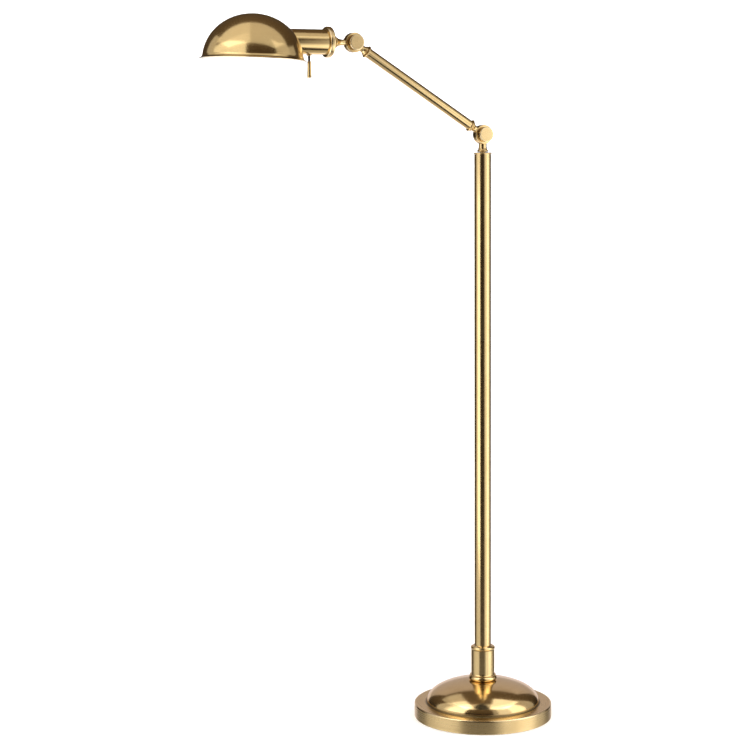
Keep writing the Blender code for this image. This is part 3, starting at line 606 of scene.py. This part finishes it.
def make_column():
    """Foot ring, ferrule, tube and top cap."""
    bottom, top, bore, outer = span("ferrule_ring", COLUMN_AXIS)
    middle = 0.5 * (bottom + top)
    half = top - middle
    floor = bottom + RING_FLOOR
    corners = [(bore, top, 0.0), (bore, floor, 0.0), (outer - half - 2.0, floor, 0.0)]
    corners += arc(outer - half, middle, half, half, -90.0, 90.0, 20)
    turned("ferrule_ring", corners, COLUMN_AXIS, BRIGHT, "stand", "brass", 128)

    bottom, top, bore, outer = span("column_ferrule", COLUMN_AXIS)
    flare = outer - FERRULE_RADIUS
    bead = FERRULE_BEAD_ROUND
    mouth = span("column_tube", COLUMN_AXIS)[3] + GAP
    corners = [(bore, FERRULE_FLOOR_TOP, 0.0), (bore, bottom, 0.0), (outer, bottom, 0.0)]
    corners += arc(outer, bottom + 1.0 + flare, flare, flare, 270.0, 180.0, 10)
    corners += [(FERRULE_RADIUS, FERRULE_BEAD_HEIGHT - bead, 0.6)]
    corners += arc(FERRULE_BEAD_RADIUS - bead, FERRULE_BEAD_HEIGHT, bead, bead, -40.0, 62.0, 12)
    corners += [(mouth + 2.6, top - 0.6, 0.5), (mouth + 1.4, top, 0.5), (mouth, top, 0.3)]
    corners += [(mouth, FERRULE_FLOOR_TOP, 0.0)]
    ferrule = loose("column_ferrule_turned", corners, COLUMN_AXIS, 128)
    screw_height = frame_middle("ferrule_grub_screw").z / MM
    rear = axis_frame(Vector((0.0, 0.0, screw_height)) * MM, (0.0, 1.0, 0.0))
    hole = rod(FERRULE_SCREW_HOLE, mouth, outer + 2.0)
    carve(ferrule, loose("screw_hole", hole, rear, 32), "DIFFERENCE")
    settle(ferrule, FERRULE_BRASS, "stand", "brass", "column_ferrule")
    make_grub_screw("ferrule_grub_screw", rear, "stand")

    start, end, bore, outer = span("column_tube", COLUMN_AXIS)
    corners = ring(bore, outer, start, end, 0.4)
    turned("column_tube", corners, COLUMN_AXIS, COLUMN_BRASS, "stand", "brass", 128)
    flange_start = end + GAP
    plug = bore - GAP

    start, end, bore, outer = span("column_top_cap", COLUMN_AXIS)
    middle = 0.5 * (flange_start + end)
    half = end - middle
    corners = [(bore, end, 0.3), (bore, start, 0.0), (plug, start, 0.4), (plug, flange_start, 0.0)]
    corners += arc(outer - half, middle, half, half, -90.0, 90.0, 12)
    turned("column_top_cap", corners, COLUMN_AXIS, BRIGHT, "stand", "brass", 96)


def make_grub_screw(node, place, body):
    """A grub screw with a hexagonal socket in its outer end."""
    start, end, _, radius = span(node, place)
    screw = loose(node + "_turned", rod(radius, start, end, 0.25), place, 40)
    carve(screw, loose("socket", rod(0.55 * radius, end - 1.2, end + 1.0), place, 6), "DIFFERENCE")
    settle(screw, DARK_STEEL, body, "steel", node)


# ---------------------------------------------------------------- knuckles

def neck(profile, stud_radius, stud_end):
    """Hourglass neck: waist, trumpet flare, round bead and stud."""
    waist, bead, bead_centre = profile
    half = NECK_BEAD_ROUND
    flare_start = KNUCKLE_RADIUS + FLARE_GAP
    flare_end = bead_centre - half
    rise = bead - FLARE_LIP - waist
    corners = [(0.0, NECK_START, 0.0), (waist, NECK_START, 0.0), (waist, flare_start - 1.0, 0.0)]
    for step in range(13):
        share = step / 12.0
        corners.append((
            waist + rise * share * share, flare_start + (flare_end - flare_start) * share, 0.0,
        ))
    corners += arc(bead - half, bead_centre, half, half, -62.0, 90.0, 12)
    corners += [(stud_radius, bead_centre + half, 0.0)]
    corners += [(stud_radius, stud_end, 0.0), (0.0, stud_end, 0.0)]
    return corners


def knuckle_half(node, pivot, side, place, profile, body):
    """Bored half disc with a neck, cut back where the knuckle's other half turns."""
    cross = crosswise(pivot, side)
    stud_radius = ARM_STUD_RADIUS if body == "arm" else PIPE_STUD_RADIUS
    stud_end = span(node, place)[1]
    half = loose(node + "_turned", neck(profile, stud_radius, stud_end), place, 64)
    disc = [
        (BOLT_HOLE, HALF_OUTER, 0.3), (BOLT_HOLE, 0.1, 0.0),
        (KNUCKLE_RADIUS, 0.1, 0.0), (KNUCKLE_RADIUS, HALF_OUTER, HALF_EDGE),
    ]
    carve(half, loose("disc", disc, cross, 96), "UNION")
    sweep = rod(KNUCKLE_RADIUS + SWEEP_CLEARANCE, -SWEEP_DEPTH, HALF_INNER)
    carve(half, loose("sweep", sweep, cross, 144), "DIFFERENCE")
    settle(half, BRIGHT, body, "brass", node)


def make_clamp(prefix, pivot, arm_body, clamp_body, rear_body):
    """Washer between the halves, knob in front and cap nut behind."""
    front = crosswise(pivot, -1)
    rear = crosswise(pivot, 1)
    node = prefix + "_friction_washer"
    start, end, bore, outer = span(node, front)
    turned(node, ring(bore, outer, start, end, 0.2), front, FIBRE, arm_body, "fibre", 96)

    node = prefix + "_clamp_knob"
    start, end, _, outer = span(node, front)
    corners = [
        (0.0, BOLT_FRONT + GAP, 0.0), (BOLT_HOLE, BOLT_FRONT + GAP, 0.0), (BOLT_HOLE, start, 0.0),
        (KNOB_HUB_RADIUS, start, 0.2), (KNOB_HUB_RADIUS, KNOB_BACK, 0.4), (outer, KNOB_BACK, 0.8),
        (outer, end, KNOB_ROUND), (0.0, end, 0.0),
    ]
    turned(node, corners, front, KNOB_FACE, clamp_body, "brass", 128)

    node = prefix + "_cap_nut"
    start, end, _, outer = span(node, rear)
    floor = span(prefix + "_clamp_bolt", rear)[1] + GAP
    side = start + CAP_NUT_SIDE
    corners = [(0.0, floor, 0.0), (BOLT_HOLE, floor, 0.0), (BOLT_HOLE, start, 0.0), (outer, start, 0.4)]
    corners += arc(0.0, side, outer, end - side, 0.0, 90.0, 20)[:-1]
    corners += [(0.0, end, 0.0)]
    turned(node, corners, rear, BRIGHT, rear_body, "brass", 96)


def make_knuckles():
    """Both knuckles, the swivel washer and the two arm collars."""
    knuckle_half("lower_post_half", LOWER, 1, POST_AXIS, POST_NECK, "post_swivel")
    knuckle_half("lower_arm_half", LOWER, -1, ARM_AXIS, ARM_NECK, "arm")
    knuckle_half("upper_arm_half", UPPER, -1, ARM_BACK_AXIS, ARM_NECK, "arm")
    knuckle_half("upper_head_half", UPPER, 1, HEAD_AXIS, HEAD_NECK, "head_yoke")
    make_clamp("lower", LOWER, "arm", "lower_clamp", "post_swivel")
    make_clamp("upper", UPPER, "arm", "upper_clamp", "head_yoke")

    start, end, bore, outer = span("swivel_washer", COLUMN_AXIS)
    corners = ring(bore, outer, start, end, 0.15)
    turned("swivel_washer", corners, COLUMN_AXIS, FIBRE, "post_swivel", "fibre", 64)

    plug = span("arm_tube", ARM_AXIS)[2] - GAP
    for node, place in (("lower_arm_collar", ARM_AXIS), ("upper_arm_collar", ARM_BACK_AXIS)):
        start, end, bore, outer = span(node, place)
        middle = 0.5 * (start + COLLAR_END)
        half = COLLAR_END - middle
        corners = [(plug, COLLAR_END, 0.0), (plug, end, 0.4), (bore, end, 0.0), (bore, start, 0.0)]
        corners += arc(outer - half, middle, half, half, -90.0, 90.0, 12)
        turned(node, corners, place, BRIGHT, "arm", "brass", 96)

    start, end, bore, outer = span("arm_tube", ARM_AXIS)
    corners = ring(bore, outer, start, end, 0.3)
    turned("arm_tube", corners, ARM_AXIS, COLUMN_BRASS, "arm", "brass", 96)


# ---------------------------------------------------------------- head

def shade_corners(grow=0.0):
    """The shade's outer wall, lip and inner wall, as corners that follow on from each other."""
    inner_width = SHADE_RADIUS - SHADE_WALL
    inner_height = SHADE_HEIGHT - SHADE_WALL
    width = SHADE_RADIUS + grow
    height = SHADE_HEIGHT + grow
    half = SHADE_LIP_HALF
    lip_radius = span("shade", SHADE_AXIS)[3]
    inner_foot = math.degrees(math.asin((SHADE_LIP_START - half) / inner_height))
    outer_foot = math.degrees(math.asin(SHADE_LIP_START / height))
    outside = arc(0.0, 0.0, width, height, 90.0, outer_foot, 64)
    outside[0] = (0.0, height, 0.0)
    lip = [
        (SHADE_RADIUS + half + SHADE_WALL, 4.0 * half, 2.0),
        (lip_radius, half, 0.45),
        (lip_radius, -half, 0.45),
        (SHADE_RADIUS + half, 2.0 * half, 2.0),
    ]
    inside = arc(0.0, 0.0, inner_width, inner_height, inner_foot, 90.0, 64)
    inside[-1] = (0.0, inner_height, 0.0)
    return outside, lip, inside


def make_shade():
    """Spun shade: brass outside, white enamel inside."""
    outside, lip, inside = shade_corners()
    corners = outside + lip + inside
    finishes = (SPUN, ENAMEL)
    enamel_from = len(outside) + LIP_EDGE_CORNERS
    shade = loose("shade_spun", corners, SHADE_AXIS, 256, enamel_from, finishes)
    hole = rod(SHADE_HOLE_RADIUS, SHADE_DISTANCE - 2.0 * CUP_REACH, SHADE_DISTANCE - CUP_REACH)
    carve(shade, loose("shade_hole", hole, HEAD_AXIS, 96), "DIFFERENCE")
    settle(shade, None, "head", "shade_brass", "shade")


def make_cup():
    """End cap, cup trimmed to the shade, and the switch's bushing."""
    start, end, bore, outer = span("cup_end_cap", HEAD_AXIS)
    edge = END_CAP_EDGE_ROUND
    face = END_CAP_FACE_RADIUS
    flange = END_CAP_FLANGE_START
    width = outer - END_CAP_STEP - face
    seat = CUP_RADIUS + GAP
    cup_start = span("socket_cup", HEAD_AXIS)[0]
    floor = cup_start - GAP
    corners = [(seat, end, 0.3), (seat, floor, 0.0), (bore, floor, 0.0), (bore, start, 0.3)]
    corners += arc(face, flange, width, flange - start, -90.0, -8.0, 18)
    corners += [(outer, flange, edge), (outer, end, edge)]
    cap = loose("cup_end_cap_turned", corners, HEAD_AXIS, 128)
    screw_station = (UPPER.x - frame_middle("cap_grub_screw").x) / MM
    rear = axis_frame(UPPER + Vector((-screw_station, 0.0, 0.0)) * MM, (0.0, 1.0, 0.0))
    hole = rod(CAP_SCREW_HOLE, CUP_RADIUS + 0.1, outer + 2.0)
    carve(cap, loose("screw_hole", hole, rear, 24), "DIFFERENCE")
    settle(cap, SATIN, "head", "brass", "cup_end_cap")
    make_grub_screw("cap_grub_screw", rear, "head")

    tube = ring(CUP_RADIUS - CUP_WALL, CUP_RADIUS, cup_start, SHADE_DISTANCE - CUP_REACH)
    cup = loose("socket_cup_turned", tube, HEAD_AXIS, 128)
    outside, _, _ = shade_corners(GAP)
    trim = outside + [(SHADE_RADIUS + GAP, -4.0, 0.0), (0.0, -4.0, 0.0)]
    carve(cup, loose("trim", trim, SHADE_AXIS, 256), "DIFFERENCE")
    start, end, bore, outer = span("switch_bushing", SWITCH_AXIS)
    sleeve = outer - BUSHING_FLANGE
    hole = rod(sleeve + GAP, start - 3.0, end + 1.0)
    carve(cup, loose("bushing_hole", hole, SWITCH_AXIS, 40), "DIFFERENCE")
    settle(cup, SPUN, "head", "brass", "socket_cup")
    corners = [
        (bore, end, 0.2), (bore, start, 0.0), (sleeve, start, 0.3), (sleeve, CUP_RADIUS + GAP, 0.0),
        (outer, CUP_RADIUS + GAP, 0.2), (outer, end, 0.6),
    ]
    turned("switch_bushing", corners, SWITCH_AXIS, BRIGHT, "head", "brass", 48)


def make_lampholder():
    """Moulded body, screw shell and opal bulb, which show from below."""
    start, end, _, outer = span("lampholder_body", HEAD_AXIS)
    _, _, shell_bore, shell_outer = span("lampholder_shell", HEAD_AXIS)
    floor = span("lampholder_contact", HEAD_AXIS)[0] - GAP
    body_radius = outer - HOLDER_FLANGE
    cavity = shell_outer + GAP
    flange_start = start + 2.0
    flange_end = start + 6.0
    corners = [
        (0.0, start, 0.0), (10.0, start, 1.0), (body_radius - 1.5, flange_start, 0.0),
        (outer, flange_start, 0.5), (outer, flange_end, 0.5), (body_radius, flange_end, 0.8),
        (body_radius, end, 0.9), (cavity, end, 0.4), (cavity, floor, 0.3), (0.0, floor, 0.0),
    ]
    body = loose("lampholder_body_turned", corners, HEAD_AXIS, 96)
    stem_radius = span("switch_stem", SWITCH_AXIS)[3]
    stem_hole = rod(stem_radius + GAP, shell_outer - 1.0, body_radius + 2.0)
    carve(body, loose("stem_hole", stem_hole, SWITCH_AXIS, 32), "DIFFERENCE")
    settle(body, PHENOLIC, "head", "phenolic", "lampholder_body")

    start, end, bore, outer = span("lampholder_shell", HEAD_AXIS)
    corners = ring(bore, outer, start, end, 0.2)
    turned("lampholder_shell", corners, HEAD_AXIS, CONTACT, "head", "contact_brass", 64)

    start, tip, _, radius = span("bulb_globe", HEAD_AXIS)
    foot = BULB_FOOT_RADIUS

    def skin(offset):
        """The bulb's outline, offset inwards, from its foot to its tip."""
        ball = arc(0.0, BULB_CENTRE, radius - offset, radius - offset, -38.0, 90.0, 30)
        ball[-1] = (0.0, tip - offset, 0.0)
        return [
            (foot - offset, start, 0.0), (foot + 0.8 - offset, start + 11.0, 12.0),
            (foot + 3.3 - offset, start + 18.0, 12.0),
        ] + ball

    corners = list(reversed(skin(BULB_WALL))) + skin(0.0)
    turned("bulb_globe", corners, HEAD_AXIS, GLASS, "head", "bulb_glass", 96)


def make_switch():
    """Dark stem and the trumpet-shaped knob with its groove and foot bead."""
    start, end, _, radius = span("switch_stem", SWITCH_AXIS)
    turned("switch_stem", rod(radius, start, end, 0.2), SWITCH_AXIS, DARK_STEEL, "switch", "steel", 40)
    top, bottom, _, foot = span("switch_knob", SWITCH_AXIS)
    bore = radius + GAP
    floor = end + GAP
    flare_start = top + SWITCH_FLARE_START
    flare_length = bottom - SWITCH_FLARE_END - flare_start
    width, height = SWITCH_BEAD
    corners = [(0.0, floor, 0.0), (bore, floor, 0.0), (bore, top, 0.0), (SWITCH_MOUTH_RADIUS, top, 0.25)]
    for step in range(13):
        share = step / 12.0
        flare_radius = SWITCH_TOP_RADIUS + SWITCH_FLARE * share ** 3
        corners.append((flare_radius, flare_start + flare_length * share, 0.0))
    corners += [(SWITCH_GROOVE_RADIUS, bottom - SWITCH_GROOVE, 0.3)]
    corners += arc(foot - width, bottom - height, width, height, -70.0, 90.0, 12)
    corners += [(0.0, bottom, 0.0)]
    turned("switch_knob", corners, SWITCH_AXIS, SPUN, "switch", "brass", 64)


# ---------------------------------------------------------------- carried-over CAD nodes

def paint_hidden_nodes():
    """Finishes for the CAD nodes that are shown as they are."""
    by_slot = {
        "steel": STEEL, "iron": IRON, "felt": FELT, "fibre": FIBRE, "lead": LEAD,
        "contact_brass": CONTACT, "bulb_metal": NICKEL, "brass": SATIN, "phenolic": PHENOLIC,
    }
    slots = {entry["node"]: entry["material_slot"] for entry in frame["record"]["subparts"]}
    for node, piece in frame["nodes"].items():
        if piece.hide_render:
            continue
        piece.data.materials.clear()
        piece.data.materials.append(by_slot[slots[node]])


# ---------------------------------------------------------------- studio

CAMERA_PLACE = (-1.6978, -3.1031, 1.0609)
CAMERA_YAW = 25.5              # degrees from +Y towards +X
CAMERA_PITCH = 6.81            # degrees downwards
CAMERA_ROLL = 0.39
LENS = 93.6


def make_camera():
    """Camera at the lamp's front left, a little above its middle."""
    data = bpy.data.cameras.new("camera")
    data.lens = LENS
    data.sensor_width = 36.0
    camera = bpy.data.objects.new("camera", data)
    bpy.context.scene.collection.objects.link(camera)
    turn = Matrix.Rotation(math.radians(-CAMERA_YAW), 4, "Z")
    turn = turn @ Matrix.Rotation(math.radians(90.0 - CAMERA_PITCH), 4, "X")
    turn = turn @ Matrix.Rotation(math.radians(-CAMERA_ROLL), 4, "Z")
    camera.matrix_world = Matrix.Translation(CAMERA_PLACE) @ turn
    bpy.context.scene.camera = camera


def studio_paper():
    """Pale paper that glows, more so far from the lamp, so that the background stays even."""
    paper = Finish("studio_paper")
    paper.set(Roughness=0.9)
    grain = paper.noise(paper.coordinates(False, (40.0, 40.0, 40.0)), 3.0)
    shades = ((0.90, 0.90, 0.90), (0.885, 0.885, 0.885))
    paper.link(paper.blend(grain, *shades), paper.shader.inputs["Base Color"])
    distance = paper.node("ShaderNodeVectorMath", operation="LENGTH")
    paper.link(paper.coordinates(False, (1.0, 1.0, 1.0)), distance.inputs[0])
    glow = paper.spread(distance.outputs["Value"], 0.2, 4.0, 0.25, 0.80)
    paper.set(Emission_Color=(1.0, 1.0, 1.0, 1.0))
    paper.link(glow, paper.shader.inputs["Emission Strength"])
    return paper.material


def make_floor():
    """A pale floor that sweeps up into a round wall far outside the lights."""
    flat, curve, wall, segments = 9.0, 3.0, 7.0, 96
    outline = [(0.0, 0.0), (1.0, 0.0), (3.0, 0.0), (6.0, 0.0)]
    for step in range(17):
        angle = 0.5 * math.pi * step / 16.0
        outline.append((flat + curve * math.sin(angle), curve * (1.0 - math.cos(angle))))
    outline.append((flat + curve, wall))
    shape = bmesh.new()
    rings = []
    for radius, height in outline:
        rings.append([
            shape.verts.new((
                radius * math.cos(2.0 * math.pi * step / segments),
                radius * math.sin(2.0 * math.pi * step / segments),
                height,
            ))
            for step in range(segments if radius else 1)
        ])
    for inner, outer in zip(rings, rings[1:]):
        for step in range(segments):
            corners = [outer[step], outer[(step + 1) % segments]]
            corners += [inner[(step + 1) % segments], inner[step]] if len(inner) > 1 else [inner[0]]
            shape.faces.new(corners)
    bmesh.ops.recalc_face_normals(shape, faces=shape.faces)
    mesh = bpy.data.meshes.new("studio_floor")
    shape.to_mesh(mesh)
    shape.free()
    mesh.shade_smooth()
    floor = bpy.data.objects.new("studio_floor", mesh)
    bpy.context.scene.collection.objects.link(floor)
    mesh.materials.append(studio_paper())
    floor.visible_glossy = False


# Lights, whose places are (right, towards) in metres, as from_camera takes them
STUDIO_WHITE = (1.0, 0.975, 0.94)
REAR_PINK = (1.0, 0.90, 0.94)
BASE_LIGHT_HEIGHT = 0.70       # height of the card and the strips above the base
SHADE_LIGHT_HEIGHT = 1.62
TABLE_FOOT = -0.70             # below the floor, where the brass would mirror a lit table


def from_camera(right, towards, height):
    """A place given as metres to the camera's right and towards the camera from the column."""
    yaw = math.radians(CAMERA_YAW)
    sideways = Vector((math.cos(yaw), -math.sin(yaw), 0.0)) * right
    forwards = Vector((-math.sin(yaw), -math.cos(yaw), 0.0)) * towards
    return sideways + forwards + Vector((0.0, 0.0, height))


def rectangle_light(name, place, turn, size, radiance, colour, mirrored, lights_paper):
    """A rectangular light that the camera doesn't see."""
    data = bpy.data.lights.new(name, "AREA")
    data.shape = "RECTANGLE"
    data.size, data.size_y = size
    data.energy = 4.0 * radiance * size[0] * size[1]
    data.color = colour
    light = bpy.data.objects.new(name, data)
    bpy.context.scene.collection.objects.link(light)
    light.location = place
    light.rotation_euler = turn
    light.visible_camera = False
    light.visible_glossy = mirrored
    light.visible_diffuse = lights_paper


def panel(name, first, second, bottom, top, radiance, colour=STUDIO_WHITE, lights_paper=False):
    """An upright light that faces the column, between two (right, towards) places."""
    height = 0.5 * (bottom + top)
    start = from_camera(*first, height)
    end = from_camera(*second, height)
    middle = 0.5 * (start + end)
    along = end - start
    facing = Vector((along.y, -along.x, 0.0))
    if facing.x * middle.x + facing.y * middle.y > 0.0:
        facing.negate()
    turn = facing.to_track_quat("-Z", "Y").to_euler()
    size = (along.length, top - bottom)
    rectangle_light(name, middle, turn, size, radiance, colour, True, lights_paper)


def ceiling(name, low, high, height, radiance, lights_paper=False, mirrored=True):
    """A level light that faces down, between two opposite (right, towards) corners."""
    place = from_camera(0.5 * (low[0] + high[0]), 0.5 * (low[1] + high[1]), height)
    turn = (0.0, 0.0, math.radians(-CAMERA_YAW))
    size = (high[0] - low[0], high[1] - low[1])
    rectangle_light(name, place, turn, size, radiance, STUDIO_WHITE, mirrored, lights_paper)


def make_black_card():
    """A card above the front of the base, seen only in the dome, where it parts the lights."""
    corners = [(-0.012, 0.03), (-0.20, 0.30), (-0.20, 0.62), (0.13, 0.62), (0.09, 0.30), (0.008, 0.03)]
    points = [from_camera(*corner, BASE_LIGHT_HEIGHT) for corner in corners]
    mesh = bpy.data.meshes.new("black_card")
    mesh.from_pydata(points, [], [range(len(points))])
    black = plain("card", (0.02, 0.018, 0.016), (0.012, 0.011, 0.01), 0.0, 0.9, 60.0, 1e-4)
    mesh.materials.append(black)
    card = bpy.data.objects.new("black_card", mesh)
    bpy.context.scene.collection.objects.link(card)
    card.visible_camera = False
    card.visible_diffuse = False
    card.visible_shadow = False


def light_left():
    """Near softbox on the left, dimmer to its side, above and below, and fill behind it."""
    inner = (-0.48, 0.615)
    middle = (-1.02, 0.268)
    outer = (-1.25, 0.12)
    low, shoulder, top = 0.10, 0.96, 1.56
    panel("left_softbox", inner, middle, low, shoulder, 1.5, lights_paper=True)
    panel("left_side", middle, outer, low, top, 0.85, lights_paper=True)
    panel("left_top", inner, middle, shoulder, top, 0.90, lights_paper=True)
    panel("left_table", inner, outer, TABLE_FOOT, low, 0.55)
    panel("left_rear_fill", outer, (-1.28, -0.38), -0.5, 1.9, 0.42)


def light_right():
    """Near softbox on the right with a brighter core, dimmer at its inner edge, above and below."""
    start = (0.19, 0.62)
    inner = (0.33, 0.645)
    middle = (0.77, 0.56)
    outer = (1.25, 0.0)
    low, edge_top, top, upper_top = -0.15, 1.34, 1.42, 2.1
    panel("right_edge", start, inner, TABLE_FOOT, edge_top, 0.28)
    panel("right_softbox", inner, middle, low, top, 0.78, lights_paper=True)
    panel("right_core", middle, outer, low, top, 1.45, lights_paper=True)
    panel("right_table_inner", inner, middle, TABLE_FOOT, low, 0.62)
    panel("right_table_outer", middle, outer, TABLE_FOOT, low, 0.95)
    panel("right_top_inner", inner, middle, top, upper_top, 0.46)
    panel("right_top_outer", middle, outer, top, upper_top, 0.46)
    panel("right_rear_fill", outer, (1.20, -0.64), -0.5, 1.9, 0.34)


def light_rear():
    """Weak pink wall and table behind the lamp."""
    left = (-1.0, -1.5)
    right = (1.0, -1.5)
    panel("rear_wall", left, right, 0.25, 1.55, 0.33, REAR_PINK)
    panel("rear_table", left, right, -0.9, 0.25, 0.62, REAR_PINK)


def light_above():
    """Overheads that the shade mirrors, strips that the dome mirrors, and a wash for the paper."""
    height = SHADE_LIGHT_HEIGHT
    ceiling("shade_overhead_left", (-1.10, 0.13), (-0.42, 0.40), height, 0.64)
    ceiling("shade_overhead_front", (-1.10, 0.40), (-0.42, 0.70), height, 0.78)
    ceiling("shade_overhead_right", (-0.42, 0.13), (0.34, 0.70), height, 0.46)
    height = BASE_LIGHT_HEIGHT
    ceiling("base_strip_left", (-0.52, -0.10), (-0.21, 0.56), height, 1.1)
    ceiling("base_strip_rear", (-0.52, -0.50), (-0.21, -0.10), height, 0.42)
    ceiling("base_strip_side", (-0.72, -0.50), (-0.52, 0.25), height, 0.32)
    ceiling("base_strip_right", (0.13, -0.18), (0.62, 0.56), height, 1.05)
    ceiling("floor_wash", (-4.5, -4.5), (4.5, 4.5), 6.0, 0.8, lights_paper=True, mirrored=False)


def warm_grey(level):
    """Colour of the pale table and walls, at a level."""
    return (level, 0.95 * level, 0.89 * level, 1.0)


def dark_brown(level):
    """Colour of the room's dark part, at a level."""
    return (level, 0.70 * level, 0.44 * level, 1.0)


def make_world():
    """Surroundings seen in the brass: a pale table steeply below, nearly dark elsewhere."""
    world = bpy.data.worlds.new("studio")
    bpy.context.scene.world = world
    world.use_nodes = True
    tree = world.node_tree
    background = tree.nodes["Background"]
    coordinates = tree.nodes.new("ShaderNodeTexCoord")
    split = tree.nodes.new("ShaderNodeSeparateXYZ")
    ramp = tree.nodes.new("ShaderNodeValToRGB")
    stretch = tree.nodes.new("ShaderNodeMapRange")
    stretch.inputs["From Min"].default_value = -1.0
    stretch.inputs["From Max"].default_value = 1.0
    tree.links.new(coordinates.outputs["Generated"], split.inputs["Vector"])
    tree.links.new(split.outputs["Z"], stretch.inputs["Value"])
    tree.links.new(stretch.outputs["Result"], ramp.inputs["Fac"])
    tree.links.new(ramp.outputs["Color"], background.inputs["Color"])
    stops = ramp.color_ramp.elements
    stops[0].position, stops[0].color = 0.0, warm_grey(0.50)
    stops[1].position, stops[1].color = 1.0, dark_brown(0.15)
    for position, level in ((0.21, 0.75), (0.350, 0.28)):
        stops.new(position).color = warm_grey(level)
    for position, level in ((0.372, 0.035), (0.5, 0.035), (0.60, 0.07)):
        stops.new(position).color = dark_brown(level)
    bpy.context.scene.view_settings.view_transform = "Standard"


make_base()
make_column()
make_knuckles()
make_shade()
make_cup()
make_lampholder()
make_switch()
paint_hidden_nodes()
make_camera()
make_floor()
make_black_card()
light_left()
light_right()
light_rear()
light_above()
make_world()
